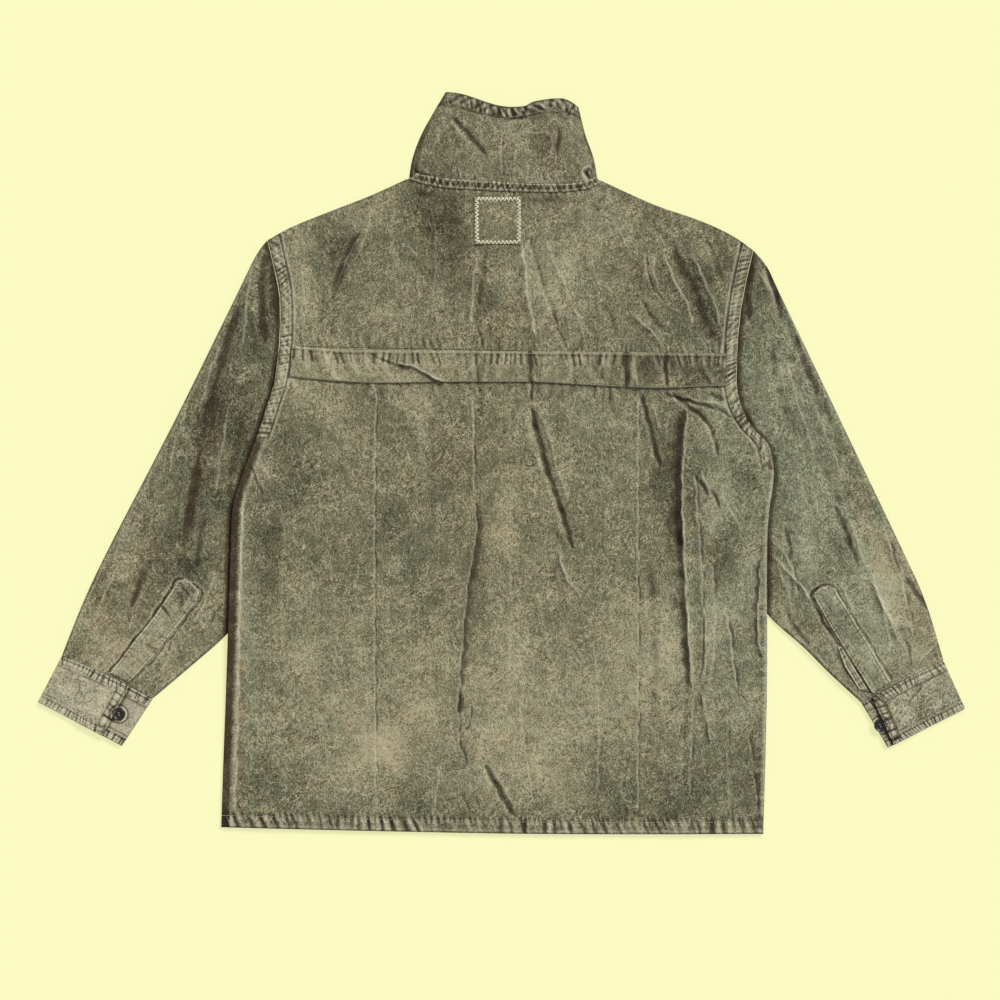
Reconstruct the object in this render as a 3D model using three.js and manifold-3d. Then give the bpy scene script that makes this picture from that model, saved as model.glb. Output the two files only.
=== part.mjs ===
// Anorak smock laid flat on its front, back side up. Millimetres, +Z up, +Y towards the collar,
// +X to the right as seen from above. The origin is the middle of its outline on the table.
import * as THREE from 'three';
import { mergeVertices } from 'three/addons/utils/BufferGeometryUtils.js';
import Module from 'manifold-3d';

// Cloth thicknesses
const CLOTH = 1.2;
const CUFF_CLOTH = 1.8;
const STRIP_CLOTH = 1.1;

// Clearances
const SEAM = 0.3;
const ARMHOLE_SEAM = 0.7;
const LAID_GAP = 0.5;

// Yoke and back: rises of the felled seams and the turned hem, and the strip over the yoke seam,
// its depth as a share of the back
const FELL_RISE = 0.9;
const SIDE_FELL_RISE = 0.5;
const HEM_RISE = 0.9;
const BAND_DEPTH_V = 0.077;
const BAND_LIP = 1.2;

// Sleeve tubes, pressed flat
const SLEEVE_HEIGHT = 3.4;
const SLEEVE_EDGE = 3;
const SLEEVE_PUFF = 1.3;
const END_BOW = 0.25;

// Body over the tucked sleeves: the lift, and where it starts and ends as shares of the back,
// in from each side and down from the yoke seam
const TUCK_LIFT = 4.2;
const TUCK_ACROSS = { full: 0.12, none: 0.175 };
const TUCK_DOWN = { full: 0.605, none: 0.755 };
const SIDE_SHARE = 0.35;
const YOKE_TOP_SHARE = 0.45;
const HEM_SHARE = 0.3;
const BODY_LOFT = 1.6;
const BODY_SWELL = 0.45;

// Collar
const COLLAR_HEIGHT = 3.9;
const COLLAR_PUFF = 1.7;
const COLLAR_RIM_RISE = 0.9;
const FRONT_NECK_DROP = 35;
const COLLAR_FRONT_DROP = 3;
const NECK_SLIT = { width: 2.4, length: 255, past: 20 };
const FRONT_INSET = 0.8;

// Cuffs and buttons
const CUFF_LEVELS = { middle: 2.2, over: 4.4 };
const CUFF_DEPTH = 60;
const CUFF_TURNED_EDGE = 0.5;
const UNDERLAP = 0.22;
const BUTTON = {
  radius: 7.5, thick: 2.4, rim: 1.3, dish: 0.7, round: 0.8, hole: 0.9, holeSpacing: 1.9, holes: 4, sides: 20,
};
const BUTTON_CLEAR = 0.3;

// Neck patch
const PATCH = { left: -32, right: 23, top: 314, bottom: 258, cells: 5 };

// Outline of the body. Each row is one point of a smooth edge.
const LEFT_ARMHOLE = [
  { x: -276, y: 263 }, { x: -270, y: 238 }, { x: -262, y: 200 }, { x: -261, y: 165 }, { x: -262, y: 138 },
];
const LEFT_SIDE = [
  { x: -262, y: 138 }, { x: -267, y: 98 }, { x: -276, y: 70 }, { x: -290, y: 28 }, { x: -306, y: -15 },
  { x: -317, y: -52 }, { x: -320, y: -115 }, { x: -323, y: -209 }, { x: -328, y: -339 }, { x: -331, y: -430 },
];
const RIGHT_ARMHOLE = [
  { x: 297, y: 251 }, { x: 290, y: 222 }, { x: 283, y: 186 }, { x: 279, y: 152 }, { x: 278, y: 126 },
];
const RIGHT_SIDE = [
  { x: 278, y: 126 }, { x: 277, y: 94 }, { x: 283, y: 65 }, { x: 297, y: 41 }, { x: 316, y: 19 },
  { x: 321, y: -15 }, { x: 315, y: -63 }, { x: 313, y: -115 }, { x: 313, y: -280 }, { x: 309, y: -438 },
];
const LEFT_SHOULDER = [
  { x: -276, y: 263 }, { x: -248, y: 278.5 }, { x: -205, y: 296 }, { x: -156, y: 315 }, { x: -112, y: 335 },
];
const RIGHT_SHOULDER = [
  { x: 116, y: 334 }, { x: 180, y: 305 }, { x: 233, y: 286.5 }, { x: 272, y: 268.5 }, { x: 297, y: 251 },
];
const BACK_NECK = [
  { x: -112, y: 335 }, { x: -78, y: 331 }, { x: 0, y: 325 }, { x: 60, y: 324.5 }, { x: 95, y: 327 },
  { x: 116, y: 334 },
];
const YOKE_SEAM = [
  { x: -262, y: 138 }, { x: -120, y: 135 }, { x: 0, y: 132.5 }, { x: 150, y: 128 }, { x: 278, y: 126 },
];
const HEM = [{ x: -331, y: -430 }, { x: -150, y: -434.5 }, { x: 60, y: -438 }, { x: 309, y: -438 }];

// Sleeve edges from the armhole to the cuff seam. The inner edge passes under the body's side.
const SLEEVES = {
  left: {
    outer: [{ x: -290, y: 245 }, { x: -316, y: 192 }, { x: -386, y: 50 }, { x: -459, y: -91 },
      { x: -493, y: -162 }, { x: -519, y: -227 }],
    inner: [{ x: -270, y: -20 }, { x: -251, y: -97 }, { x: -266, y: -140 }, { x: -323, y: -201 },
      { x: -367, y: -240 }, { x: -412, y: -278 }],
    cuffSeam: [{ x: -519, y: -227 }, { x: -465, y: -250 }, { x: -412, y: -278 }],
  },
  right: {
    outer: [{ x: 314, y: 231 }, { x: 332, y: 193 }, { x: 400, y: 51 }, { x: 468, y: -91 },
      { x: 500, y: -162 }, { x: 522, y: -233 }],
    inner: [{ x: 300, y: -25 }, { x: 287, y: -90 }, { x: 296, y: -148 }, { x: 317, y: -182 },
      { x: 356, y: -217 }, { x: 388, y: -249 }, { x: 425, y: -283 }],
    cuffSeam: [{ x: 522, y: -233 }, { x: 475, y: -256 }, { x: 425, y: -283 }],
  },
};

// Cuff corners, the place of the lapped end across the top and bottom edges, and the button's height
const CUFFS = {
  left: {
    outerTop: { x: -519, y: -227 }, outerBottom: { x: -547.5, y: -282 },
    innerBottom: { x: -448, y: -334 }, innerTop: { x: -412, y: -278 },
    lapTop: 0.74, lapBottom: 0.77, buttonV: 0.52,
  },
  right: {
    outerTop: { x: 522, y: -233 }, outerBottom: { x: 547.5, y: -290 },
    innerBottom: { x: 456, y: -336 }, innerTop: { x: 425, y: -283 },
    lapTop: 0.87, lapBottom: 0.93, buttonV: 0.55,
  },
};
const BUTTON_FROM_LAP = 4.6;

// Pointed strips over the sleeve slits, a row for each cross section from the cuff to the tip
const PLACKETS = {
  left: [
    { leftX: -462, leftY: -248, rightX: -440, rightY: -259 },
    { leftX: -434, leftY: -211, rightX: -412, rightY: -230 },
    { leftX: -409, leftY: -180, rightX: -386, rightY: -197 },
    { leftX: -387, leftY: -147, rightX: -360, rightY: -164 },
    { leftX: -383, leftY: -141, rightX: -356, rightY: -153 },
    { leftX: -375, leftY: -138, rightX: -366, rightY: -141 },
  ],
  right: [
    { leftX: 438, leftY: -272, rightX: 460, rightY: -258 },
    { leftX: 411, leftY: -230, rightX: 434, rightY: -215 },
    { leftX: 388, leftY: -193, rightX: 412, rightY: -179 },
    { leftX: 371, leftY: -163, rightX: 396, rightY: -153 },
    { leftX: 368, leftY: -156, rightX: 394, rightY: -148 },
    { leftX: 376, leftY: -148, rightX: 387, rightY: -146 },
  ],
};
// Narrow under-binding of the right slit, beside the open edge of its placket
const SLIT_BINDING = [
  { leftX: 422, leftY: -267, rightX: 434, rightY: -270 },
  { leftX: 405, leftY: -240, rightX: 415, rightY: -240 },
  { leftX: 396, leftY: -216, rightX: 401, rightY: -217 },
];

// Largest folds of the body: a line, its half width, and its rise (a trough is negative)
const BODY_FOLDS = [
  { x1: 31, y1: 73, x2: 66, y2: -40, half: 9, rise: -1.5 },
  { x1: 66, y1: -40, x2: 92, y2: -118, half: 9, rise: -1.3 },
  { x1: 48, y1: 60, x2: 84, y2: -50, half: 11, rise: 2.2 },
  { x1: 214, y1: 66, x2: 212, y2: -92, half: 9, rise: -1.5 },
  { x1: 212, y1: -92, x2: 226, y2: -276, half: 9, rise: -1.5 },
  { x1: 232, y1: -20, x2: 234, y2: -165, half: 11, rise: 3 },
  { x1: 234, y1: -160, x2: 240, y2: -262, half: 10, rise: 3.4 },
  { x1: 243, y1: -268, x2: 250, y2: -340, half: 9, rise: 2.2 },
  { x1: 168, y1: 84, x2: 192, y2: -10, half: 10, rise: 2.4 },
  { x1: 222, y1: 78, x2: 256, y2: 12, half: 10, rise: 2.6 },
  { x1: 222, y1: 70, x2: 276, y2: 54, half: 9, rise: 1.8 },
  { x1: -34, y1: 84, x2: -41, y2: -160, half: 11, rise: 2 },
  { x1: -41, y1: -160, x2: -54, y2: -305, half: 11, rise: 2 },
  { x1: -23, y1: -354, x2: 17, y2: -412, half: 9, rise: 2.2 },
  { x1: -146, y1: 90, x2: -147, y2: -410, half: 10, rise: 1.1 },
  { x1: 161, y1: -20, x2: 160, y2: -410, half: 10, rise: 1.2 },
  { x1: -297, y1: -4, x2: -270, y2: -50, half: 9, rise: 1.6 },
  { x1: 201, y1: 254, x2: 258, y2: 142, half: 13, rise: -1.5 },
  { x1: 150, y1: 196, x2: 190, y2: 136, half: 12, rise: 1.8 },
  { x1: 24, y1: 255, x2: 44, y2: 145, half: 12, rise: 1.8 },
  { x1: -20, y1: 250, x2: -22, y2: 140, half: 12, rise: 1.4 },
  { x1: -170, y1: 268, x2: -202, y2: 190, half: 14, rise: -1.2 },
];

// Largest folds of the sleeves, in the same form
const SLEEVE_FOLDS = {
  left: [
    { x1: -286, y1: 236, x2: -288, y2: 178, half: 9, rise: -1.2 },
    { x1: -312, y1: 180, x2: -342, y2: 74, half: 12, rise: -1.2 },
    { x1: -342, y1: 74, x2: -376, y2: -100, half: 12, rise: -1.2 },
    { x1: -328, y1: 130, x2: -366, y2: -20, half: 13, rise: 1.8 },
    { x1: -416, y1: -110, x2: -448, y2: -205, half: 11, rise: -1.1 },
  ],
  right: [
    { x1: 300, y1: 236, x2: 294, y2: 168, half: 9, rise: -1.2 },
    { x1: 310, y1: 232, x2: 330, y2: 164, half: 11, rise: 2 },
    { x1: 388, y1: -50, x2: 412, y2: -110, half: 11, rise: 1.6 },
    { x1: 478, y1: -130, x2: 503, y2: -172, half: 10, rise: 1.6 },
    { x1: 335, y1: 60, x2: 372, y2: -60, half: 12, rise: -1.1 },
  ],
};

// Collar: the two edges and the top of its back, and its largest folds
const COLLAR_BASE = { left: -103, right: 112 };
const COLLAR_TOP = [
  { x: -66, y: 438 }, { x: -45, y: 435 }, { x: -4, y: 422 }, { x: 25, y: 421 }, { x: 40, y: 427 },
  { x: 72, y: 430 }, { x: 91, y: 420 },
];
const COLLAR_LEFT = [{ x: -103, y: 338 }, { x: -100, y: 366 }, { x: -89, y: 398 }, { x: -66, y: 438 }];
const COLLAR_RIGHT = [{ x: 112, y: 334 }, { x: 108, y: 362 }, { x: 99, y: 388 }, { x: 91, y: 420 }];
const COLLAR_FOLDS = [
  { x1: -60, y1: 408, x2: -17, y2: 366, half: 8, rise: -1.5 },
  { x1: 1, y1: 392, x2: 1, y2: 334, half: 8, rise: 1.4 },
  { x1: 65, y1: 388, x2: 65, y2: 356, half: 8, rise: -1.5 },
  { x1: 14, y1: 400, x2: 56, y2: 390, half: 8, rise: 1.2 },
  { x1: 92, y1: 344, x2: 106, y2: 352, half: 8, rise: 1.4 },
];

// Strip along the neck seam: its lower and upper edges
const TAPE_LOWER = [
  { x: -110, y: 335 }, { x: -87, y: 328 }, { x: -54, y: 323.5 }, { x: 45, y: 319.5 }, { x: 95, y: 322 },
  { x: 118, y: 331 },
];
const TAPE_UPPER = [
  { x: -101, y: 342 }, { x: -70, y: 337 }, { x: -41, y: 334.5 }, { x: 46, y: 330 }, { x: 90, y: 331 },
  { x: 111, y: 338 },
];

const COLOURS = {
  shell: 0x7a745c, band: 0x948f74, collar: 0x77735b, cuff: 0xa39d86, strip: 0x8b866b, button: 0x17171a,
};

const smooth = (low, high, value) => THREE.MathUtils.smoothstep(value, low, high);
const mix = THREE.MathUtils.lerp;

/** Smooth edge through a table's points: a function of the share of its length. */
function edge(table, dx = 0, dy = 0) {
  const curve = new THREE.SplineCurve(table.map((row) => new THREE.Vector2(row.x + dx, row.y + dy)));
  return (share) => curve.getPointAt(THREE.MathUtils.clamp(share, 0, 1));
}

/** One edge made of several, each with its own stretch of the whole. */
function joined(edges, breaks) {
  return (share) => {
    let part = 0;
    while (part < edges.length - 1 && share > breaks[part + 1]) part += 1;
    return edges[part]((share - breaks[part]) / (breaks[part + 1] - breaks[part]));
  };
}

/** Four-sided patch between a first and a last row edge and two side edges. */
function patchBetween(first, last, start, end) {
  const corners = [first(0), first(1), last(0), last(1)];
  return (u, v) => {
    const point = first(u).clone().multiplyScalar(1 - v).addScaledVector(last(u), v);
    point.addScaledVector(start(v), 1 - u).addScaledVector(end(v), u);
    point.addScaledVector(corners[0], -(1 - u) * (1 - v)).addScaledVector(corners[1], -u * (1 - v));
    return point.addScaledVector(corners[2], -(1 - u) * v).addScaledVector(corners[3], -u * v);
  };
}

/** Strip ruled between two long edges, whose curved ends die out along it. */
function ruledBetween(start, end, first, last) {
  const bow = (curve, u) => curve(u).clone().sub(curve(0).clone().lerp(curve(1), u));
  return (u, v) => {
    const point = start(v).clone().lerp(end(v), u);
    point.addScaledVector(bow(first, u), Math.max(0, 1 - v / END_BOW) ** 2);
    return point.addScaledVector(bow(last, u), Math.max(0, 1 - (1 - v) / END_BOW) ** 2);
  };
}

/** Height that a table of folds adds at a point. */
function foldRise(folds, x, y) {
  let rise = 0;
  for (const fold of folds) {
    const dx = fold.x2 - fold.x1;
    const dy = fold.y2 - fold.y1;
    const length = Math.hypot(dx, dy);
    const along = ((x - fold.x1) * dx + (y - fold.y1) * dy) / length;
    const across = Math.abs((x - fold.x1) * dy - (y - fold.y1) * dx) / length;
    const beyond = Math.max(0, -along, along - length) / (2 * fold.half);
    rise += fold.rise * Math.exp(-((across / fold.half) ** 2) - beyond ** 2);
  }
  return rise;
}

/** Broad unevenness of cloth that lies loose. */
function swell(x, y) {
  return Math.sin(x / 47 + y / 83) * Math.cos(y / 61 - x / 120) + 0.6 * Math.sin(x / 29 - y / 37 + 1.3);
}

/** Closed wall between an outer and an inner grid of points, round on itself when ring is set. */
function wall(outer, inner, ring = false) {
  const rows = outer.length;
  const cols = outer[0].length;
  const points = [...outer.flat(), ...inner.flat()];
  const faces = [];
  const quad = (a, b, c, d) => faces.push(a, b, c, a, c, d);
  const out = (r, c) => r * cols + (c % cols);
  const inn = (r, c) => rows * cols + out(r, c);
  const spans = ring ? cols : cols - 1;
  for (let r = 0; r < rows - 1; r += 1) {
    for (let c = 0; c < spans; c += 1) {
      quad(out(r, c), out(r + 1, c), out(r + 1, c + 1), out(r, c + 1));
      quad(inn(r, c), inn(r, c + 1), inn(r + 1, c + 1), inn(r + 1, c));
    }
    if (!ring) {
      quad(out(r, 0), inn(r, 0), inn(r + 1, 0), out(r + 1, 0));
      quad(out(r, cols - 1), out(r + 1, cols - 1), inn(r + 1, cols - 1), inn(r, cols - 1));
    }
  }
  for (let c = 0; c < spans; c += 1) {
    quad(out(0, c), out(0, c + 1), inn(0, c + 1), inn(0, c));
    quad(out(rows - 1, c), inn(rows - 1, c), inn(rows - 1, c + 1), out(rows - 1, c + 1));
  }
  return solidFrom(points, faces);
}

/** Indexed geometry with its faces turned outwards. */
function solidFrom(points, faces) {
  let volume = 0;
  for (let f = 0; f < faces.length; f += 3) {
    const [a, b, c] = [points[faces[f]], points[faces[f + 1]], points[faces[f + 2]]];
    volume += a.dot(b.clone().cross(c));
  }
  if (volume < 0) faces.reverse();
  const geometry = new THREE.BufferGeometry();
  geometry.setAttribute('position', new THREE.Float32BufferAttribute(points.flatMap((p) => p.toArray()), 3));
  geometry.setIndex(faces);
  return geometry;
}

/** Grid of points, a row for each v and a column for each u. */
function grid(us, vs, place) {
  return vs.map((v) => us.map((u) => place(u, v)));
}

/** Height of a grid's faceted surface at a point, or nothing off its edge. */
function heightOn(surface, x, y) {
  for (let r = 0; r < surface.length - 1; r += 1) {
    for (let c = 0; c < surface[r].length - 1; c += 1) {
      const corners = [surface[r][c], surface[r + 1][c], surface[r + 1][c + 1], surface[r][c + 1]];
      for (const [a, b, d] of [[corners[0], corners[1], corners[2]], [corners[0], corners[2], corners[3]]]) {
        const area = (b.x - a.x) * (d.y - a.y) - (d.x - a.x) * (b.y - a.y);
        const s = ((x - a.x) * (d.y - a.y) - (d.x - a.x) * (y - a.y)) / area;
        const t = ((b.x - a.x) * (y - a.y) - (x - a.x) * (b.y - a.y)) / area;
        if (s >= 0 && t >= 0 && s + t <= 1) return a.z + s * (b.z - a.z) + t * (d.z - a.z);
      }
    }
  }
  return -Infinity;
}

/** Highest point of some surfaces within a reach of a point: what a piece laid there rests on. */
function restOn(surfaces, x, y, reach) {
  let top = -Infinity;
  for (let turn = 0; turn <= 8; turn += 1) {
    const away = turn === 8 ? 0 : reach;
    const angle = (turn * Math.PI) / 4;
    for (const surface of surfaces) {
      top = Math.max(top, heightOn(surface, x + away * Math.cos(angle), y + away * Math.sin(angle)));
    }
  }
  return top;
}

/** Evenly spaced values from a start to an end, without the start. */
function steps(start, end, count) {
  return Array.from({ length: count }, (_, i) => mix(start, end, (i + 1) / count));
}

// Columns across the body. Both sides start with the felled seam, then the stretch over the sleeve.
const NECK_START = 0.286;
const NECK_END = 0.684;
const FELL_COLUMNS = [0, 0.0027, 0.0215, 0.0245];
const SIDE_COLUMNS = [0.08, TUCK_ACROSS.full, 0.1475, TUCK_ACROSS.none];
const BODY_COLUMNS = [
  ...FELL_COLUMNS, ...SIDE_COLUMNS,
  ...steps(TUCK_ACROSS.none, NECK_START, 4), ...steps(NECK_START, NECK_END, 13),
  ...steps(NECK_END, 1 - TUCK_ACROSS.none, 5),
  ...[...SIDE_COLUMNS].reverse().slice(1).map((u) => 1 - u), ...[...FELL_COLUMNS].reverse().map((u) => 1 - u),
];
const YOKE_ROWS = [0, 0.04, 0.13, 0.26, 0.4, 0.54, 0.68, 0.82, 0.94, 1];
const HEM_ROW = 0.965;
const BACK_ROWS = [
  0, 0.04, BAND_DEPTH_V, 0.12, 0.165, 0.21, ...steps(0.21, TUCK_DOWN.full, 8), 0.655,
  ...steps(0.655, 0.905, 5), HEM_ROW - 0.004, HEM_ROW, 1,
];
const UNDERARM_ROW = 0.19;
const UNDERARM_SHARE = 0.2;
const NECK_SPANS = 8;

// Patches that the yoke, the back and the front panel are laid out on
const TOP_BREAKS = [0, NECK_START, NECK_END, 1];
const yokeTopEdge = joined([edge(LEFT_SHOULDER), edge(BACK_NECK), edge(RIGHT_SHOULDER)], TOP_BREAKS);
const yokePatch = patchBetween(yokeTopEdge, edge(YOKE_SEAM), edge(LEFT_ARMHOLE), edge(RIGHT_ARMHOLE));
const backPatch = patchBetween(edge(YOKE_SEAM), edge(HEM), edge(LEFT_SIDE), edge(RIGHT_SIDE));

/** Height that the tucked sleeves lift the body by. */
function lift(u, v) {
  const fromSide = Math.min(u, 1 - u);
  const reached = ({ full, none }, share) => THREE.MathUtils.clamp((none - share) / (none - full), 0, 1);
  const across = reached(TUCK_ACROSS, fromSide);
  const above = THREE.MathUtils.clamp(v / BAND_DEPTH_V, 0, 1);
  const below = reached(TUCK_DOWN, v);
  return TUCK_LIFT * across * Math.min(above, below);
}

/** Height of the back's underside over the front panel's top. */
function backLoft(x, y, u, edgeShare) {
  const fromSide = Math.min(u, 1 - u);
  const sideShare = fromSide === 0 ? 0 : mix(SIDE_SHARE, 1, smooth(0, SIDE_COLUMNS[0], fromSide));
  const loose = Math.max(0, BODY_LOFT + BODY_SWELL * swell(x, y) + foldRise(BODY_FOLDS, x, y));
  return LAID_GAP + loose * sideShare * edgeShare;
}

/** Felled seam's rise along a side, on the outer face only. */
function fell(u, rise) {
  const fromSide = Math.min(u, 1 - u);
  return fromSide > 0.001 && fromSide < 0.023 ? rise : 0;
}

/** Yoke: its underside and its face side. */
function yokeSurface() {
  const base = (u, v) => {
    const point = yokePatch(u, v);
    const edgeShare = mix(YOKE_TOP_SHARE, 1, smooth(0, 0.26, v));
    return new THREE.Vector3(point.x, point.y, CLOTH + backLoft(point.x, point.y, u, edgeShare));
  };
  const under = grid(BODY_COLUMNS, YOKE_ROWS, base);
  const over = grid(BODY_COLUMNS, YOKE_ROWS, (u, v) => {
    const point = base(u, v);
    point.z += CLOTH + fell(u, FELL_RISE);
    return point;
  });
  return { under, over };
}

/** Back panel below the yoke seam: its underside and its face side. */
function backSurface() {
  const base = (u, v) => {
    const point = backPatch(u, v);
    const edgeShare = mix(HEM_SHARE, 1, smooth(1, 0.87, v));
    const z = CLOTH + lift(u, v) + backLoft(point.x, point.y, u, edgeShare);
    return new THREE.Vector3(point.x, point.y - (v === 0 ? SEAM : 0), z);
  };
  const under = grid(BODY_COLUMNS, BACK_ROWS, base);
  const over = grid(BODY_COLUMNS, BACK_ROWS, (u, v) => {
    const point = base(u, v);
    const sideRise = v < UNDERARM_ROW ? FELL_RISE : SIDE_FELL_RISE;
    point.z += CLOTH + Math.max(fell(u, sideRise), v >= HEM_ROW ? HEM_RISE : 0);
    return point;
  });
  return { under, over };
}

/** Front neckline: the back one, dropped towards the middle. */
function frontNeck(share, offset = 0) {
  const point = edge(BACK_NECK)(share);
  point.y -= FRONT_NECK_DROP * Math.sin(Math.PI * share) ** 0.8 + offset;
  return point;
}

/** Plain front panel, flat on the table and lifted at each side by the sleeve under it. */
function frontPanel(wasm) {
  const inset = FRONT_INSET;
  const neck = (share) => frontNeck(share, SEAM);
  const top = joined([edge(LEFT_SHOULDER, inset), neck, edge(RIGHT_SHOULDER, -inset)], TOP_BREAKS);
  const upper = patchBetween(top, edge(YOKE_SEAM), edge(LEFT_ARMHOLE, inset), edge(RIGHT_ARMHOLE, -inset));
  const lower = patchBetween(edge(YOKE_SEAM), edge(HEM), edge(LEFT_SIDE, inset), edge(RIGHT_SIDE, -inset));
  const sides = [0, 0.0245, ...SIDE_COLUMNS];
  const columns = [
    ...sides, NECK_START, ...steps(NECK_START, NECK_END, NECK_SPANS),
    ...[...sides].reverse().map((u) => 1 - u),
  ];
  const needed = (v) => v < 0.37 || (v > 0.6 && v < 0.76) || v === 1;
  const lowerRows = BACK_ROWS.filter((v, i) => v > 0 && (needed(v) || i % 2 === 1));
  const rows = [0, 0.12, 0.4, 0.7, 1, ...lowerRows.map((v) => 1 + v)];
  const place = (u, v) => {
    const point = v <= 1 ? upper(u, v) : lower(u, v - 1);
    return new THREE.Vector3(point.x, point.y, v <= 1 ? 0 : lift(u, v - 1));
  };
  const under = grid(columns, rows, place);
  const over = under.map((row) => row.map((point) => point.clone().setZ(point.z + CLOTH)));
  const neckPoint = frontNeck(0.5);
  const slitLength = NECK_SLIT.length + NECK_SLIT.past;
  const slit = new THREE.BoxGeometry(NECK_SLIT.width, slitLength, 8 * CLOTH);
  slit.translate(neckPoint.x, neckPoint.y + NECK_SLIT.past - slitLength / 2, 0);
  const cut = manifoldFrom(wasm, wall(over, under)).subtract(manifoldFrom(wasm, slit));
  return geometryFrom(cut);
}

/** A closed geometry as a solid for cutting. */
function manifoldFrom(wasm, geometry) {
  const merged = withSharedVertices(geometry);
  const vertProperties = new Float32Array(merged.getAttribute('position').array);
  const triVerts = new Uint32Array(merged.getIndex().array);
  return new wasm.Manifold(new wasm.Mesh({ numProp: 3, vertProperties, triVerts }));
}

/** A geometry with only positions, merged where they coincide. */
function withSharedVertices(geometry) {
  const bare = geometry.clone();
  bare.deleteAttribute('normal');
  bare.deleteAttribute('uv');
  return mergeVertices(bare, 1e-3);
}

/** A cut solid back as a geometry. */
function geometryFrom(solid) {
  const mesh = solid.getMesh();
  const geometry = new THREE.BufferGeometry();
  const position = new THREE.Float32BufferAttribute(Array.from(mesh.vertProperties), mesh.numProp);
  geometry.setAttribute('position', position);
  geometry.setIndex(Array.from(mesh.triVerts));
  return geometry;
}

/** Strip over the yoke seam, sewn at its top and free at its lower edge, ends in the armhole seams. */
function backBand(back) {
  const first = FELL_COLUMNS.length - 1;
  const last = BODY_COLUMNS.length - FELL_COLUMNS.length;
  const under = [0, 1, 2].map((row) => back.over[row].slice(first, last + 1).map((point) => {
    const lip = row === 2 ? BAND_LIP : 0.4 + 0.2 * row;
    return new THREE.Vector3(point.x, point.y, point.z + lip);
  }));
  const over = under.map((row) => row.map((point) => point.clone().setZ(point.z + CLOTH)));
  return wall(over, under);
}

/** Armhole and side tables of one side of the body. */
function bodyEdges(side) {
  return side === 'left' ? [LEFT_ARMHOLE, LEFT_SIDE] : [RIGHT_ARMHOLE, RIGHT_SIDE];
}

/** How far outside the body's edge on one side a point lies, or its distance from the middle line. */
function outsideBody(side, x, y) {
  const [armhole, bodySide] = bodyEdges(side);
  const table = [...armhole, ...bodySide.slice(1)];
  const reach = Math.abs(x);
  for (let i = 0; i < table.length - 1; i += 1) {
    if (y <= table[i].y && y >= table[i + 1].y) {
      const share = (table[i].y - y) / (table[i].y - table[i + 1].y);
      return reach - Math.abs(mix(table[i].x, table[i + 1].x, share));
    }
  }
  return reach;
}

/** Sleeve: a tube pressed flat, its underside on the table, its inner edge tucked under the body. */
function sleeve(side) {
  const sign = side === 'left' ? -1 : 1;
  const table = SLEEVES[side];
  const [armhole, bodySide] = bodyEdges(side);
  const upperCap = edge(armhole, sign * ARMHOLE_SEAM);
  const lowerCap = edge(bodySide, sign * ARMHOLE_SEAM);
  const cap = joined([upperCap, (share) => lowerCap(share * UNDERARM_SHARE)], [0, 0.53, 1]);
  const outerEdge = edge([upperCap(0), ...table.outer]);
  const innerEdge = edge([cap(1), ...table.inner]);
  const patch = ruledBetween(outerEdge, innerEdge, cap, edge(table.cuffSeam));
  const middles = [0.05, 0.16, 0.28, 0.4, 0.52, 0.64, 0.76, 0.88, 0.96];
  const rows = [0, 0.03, ...steps(0.03, 0.97, 15), 1];
  const top = (x, y) => {
    const puff = smooth(1, 30, outsideBody(side, x, y));
    const cuffward = smooth(0, 20, Math.hypot(x - table.cuffSeam[1].x, y - table.cuffSeam[1].y) - 45);
    const loose = SLEEVE_PUFF + 0.4 * swell(x, y) + foldRise(SLEEVE_FOLDS[side], x, y);
    return SLEEVE_HEIGHT + puff * mix(0.25, 1, cuffward) * Math.max(0, loose);
  };
  const place = (u, v, z) => {
    const point = patch(u, v);
    return new THREE.Vector3(point.x, point.y, z);
  };
  const edgeInset = CLOTH + 0.1;
  const ringAt = (v, inner) => {
    const width = patch(0, v).distanceTo(patch(1, v));
    const end = inner ? edgeInset / width : 0;
    const near = [SLEEVE_EDGE / width, ...middles, 1 - SLEEVE_EDGE / width];
    const upper = near.map((u) => {
      const point = patch(u, v);
      return place(u, v, top(point.x, point.y) - (inner ? CLOTH : 0));
    });
    const lower = near.map((u) => place(u, v, inner ? CLOTH : 0)).reverse();
    return [place(end, v, SLEEVE_HEIGHT / 2), ...upper, place(1 - end, v, SLEEVE_HEIGHT / 2), ...lower];
  };
  const outer = rows.map((v) => ringAt(v, false));
  const inner = rows.map((v) => ringAt(v, true));
  const over = outer.map((ring) => ring.slice(0, middles.length + 4));
  return { geometry: wall(outer, inner, true), over };
}

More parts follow.
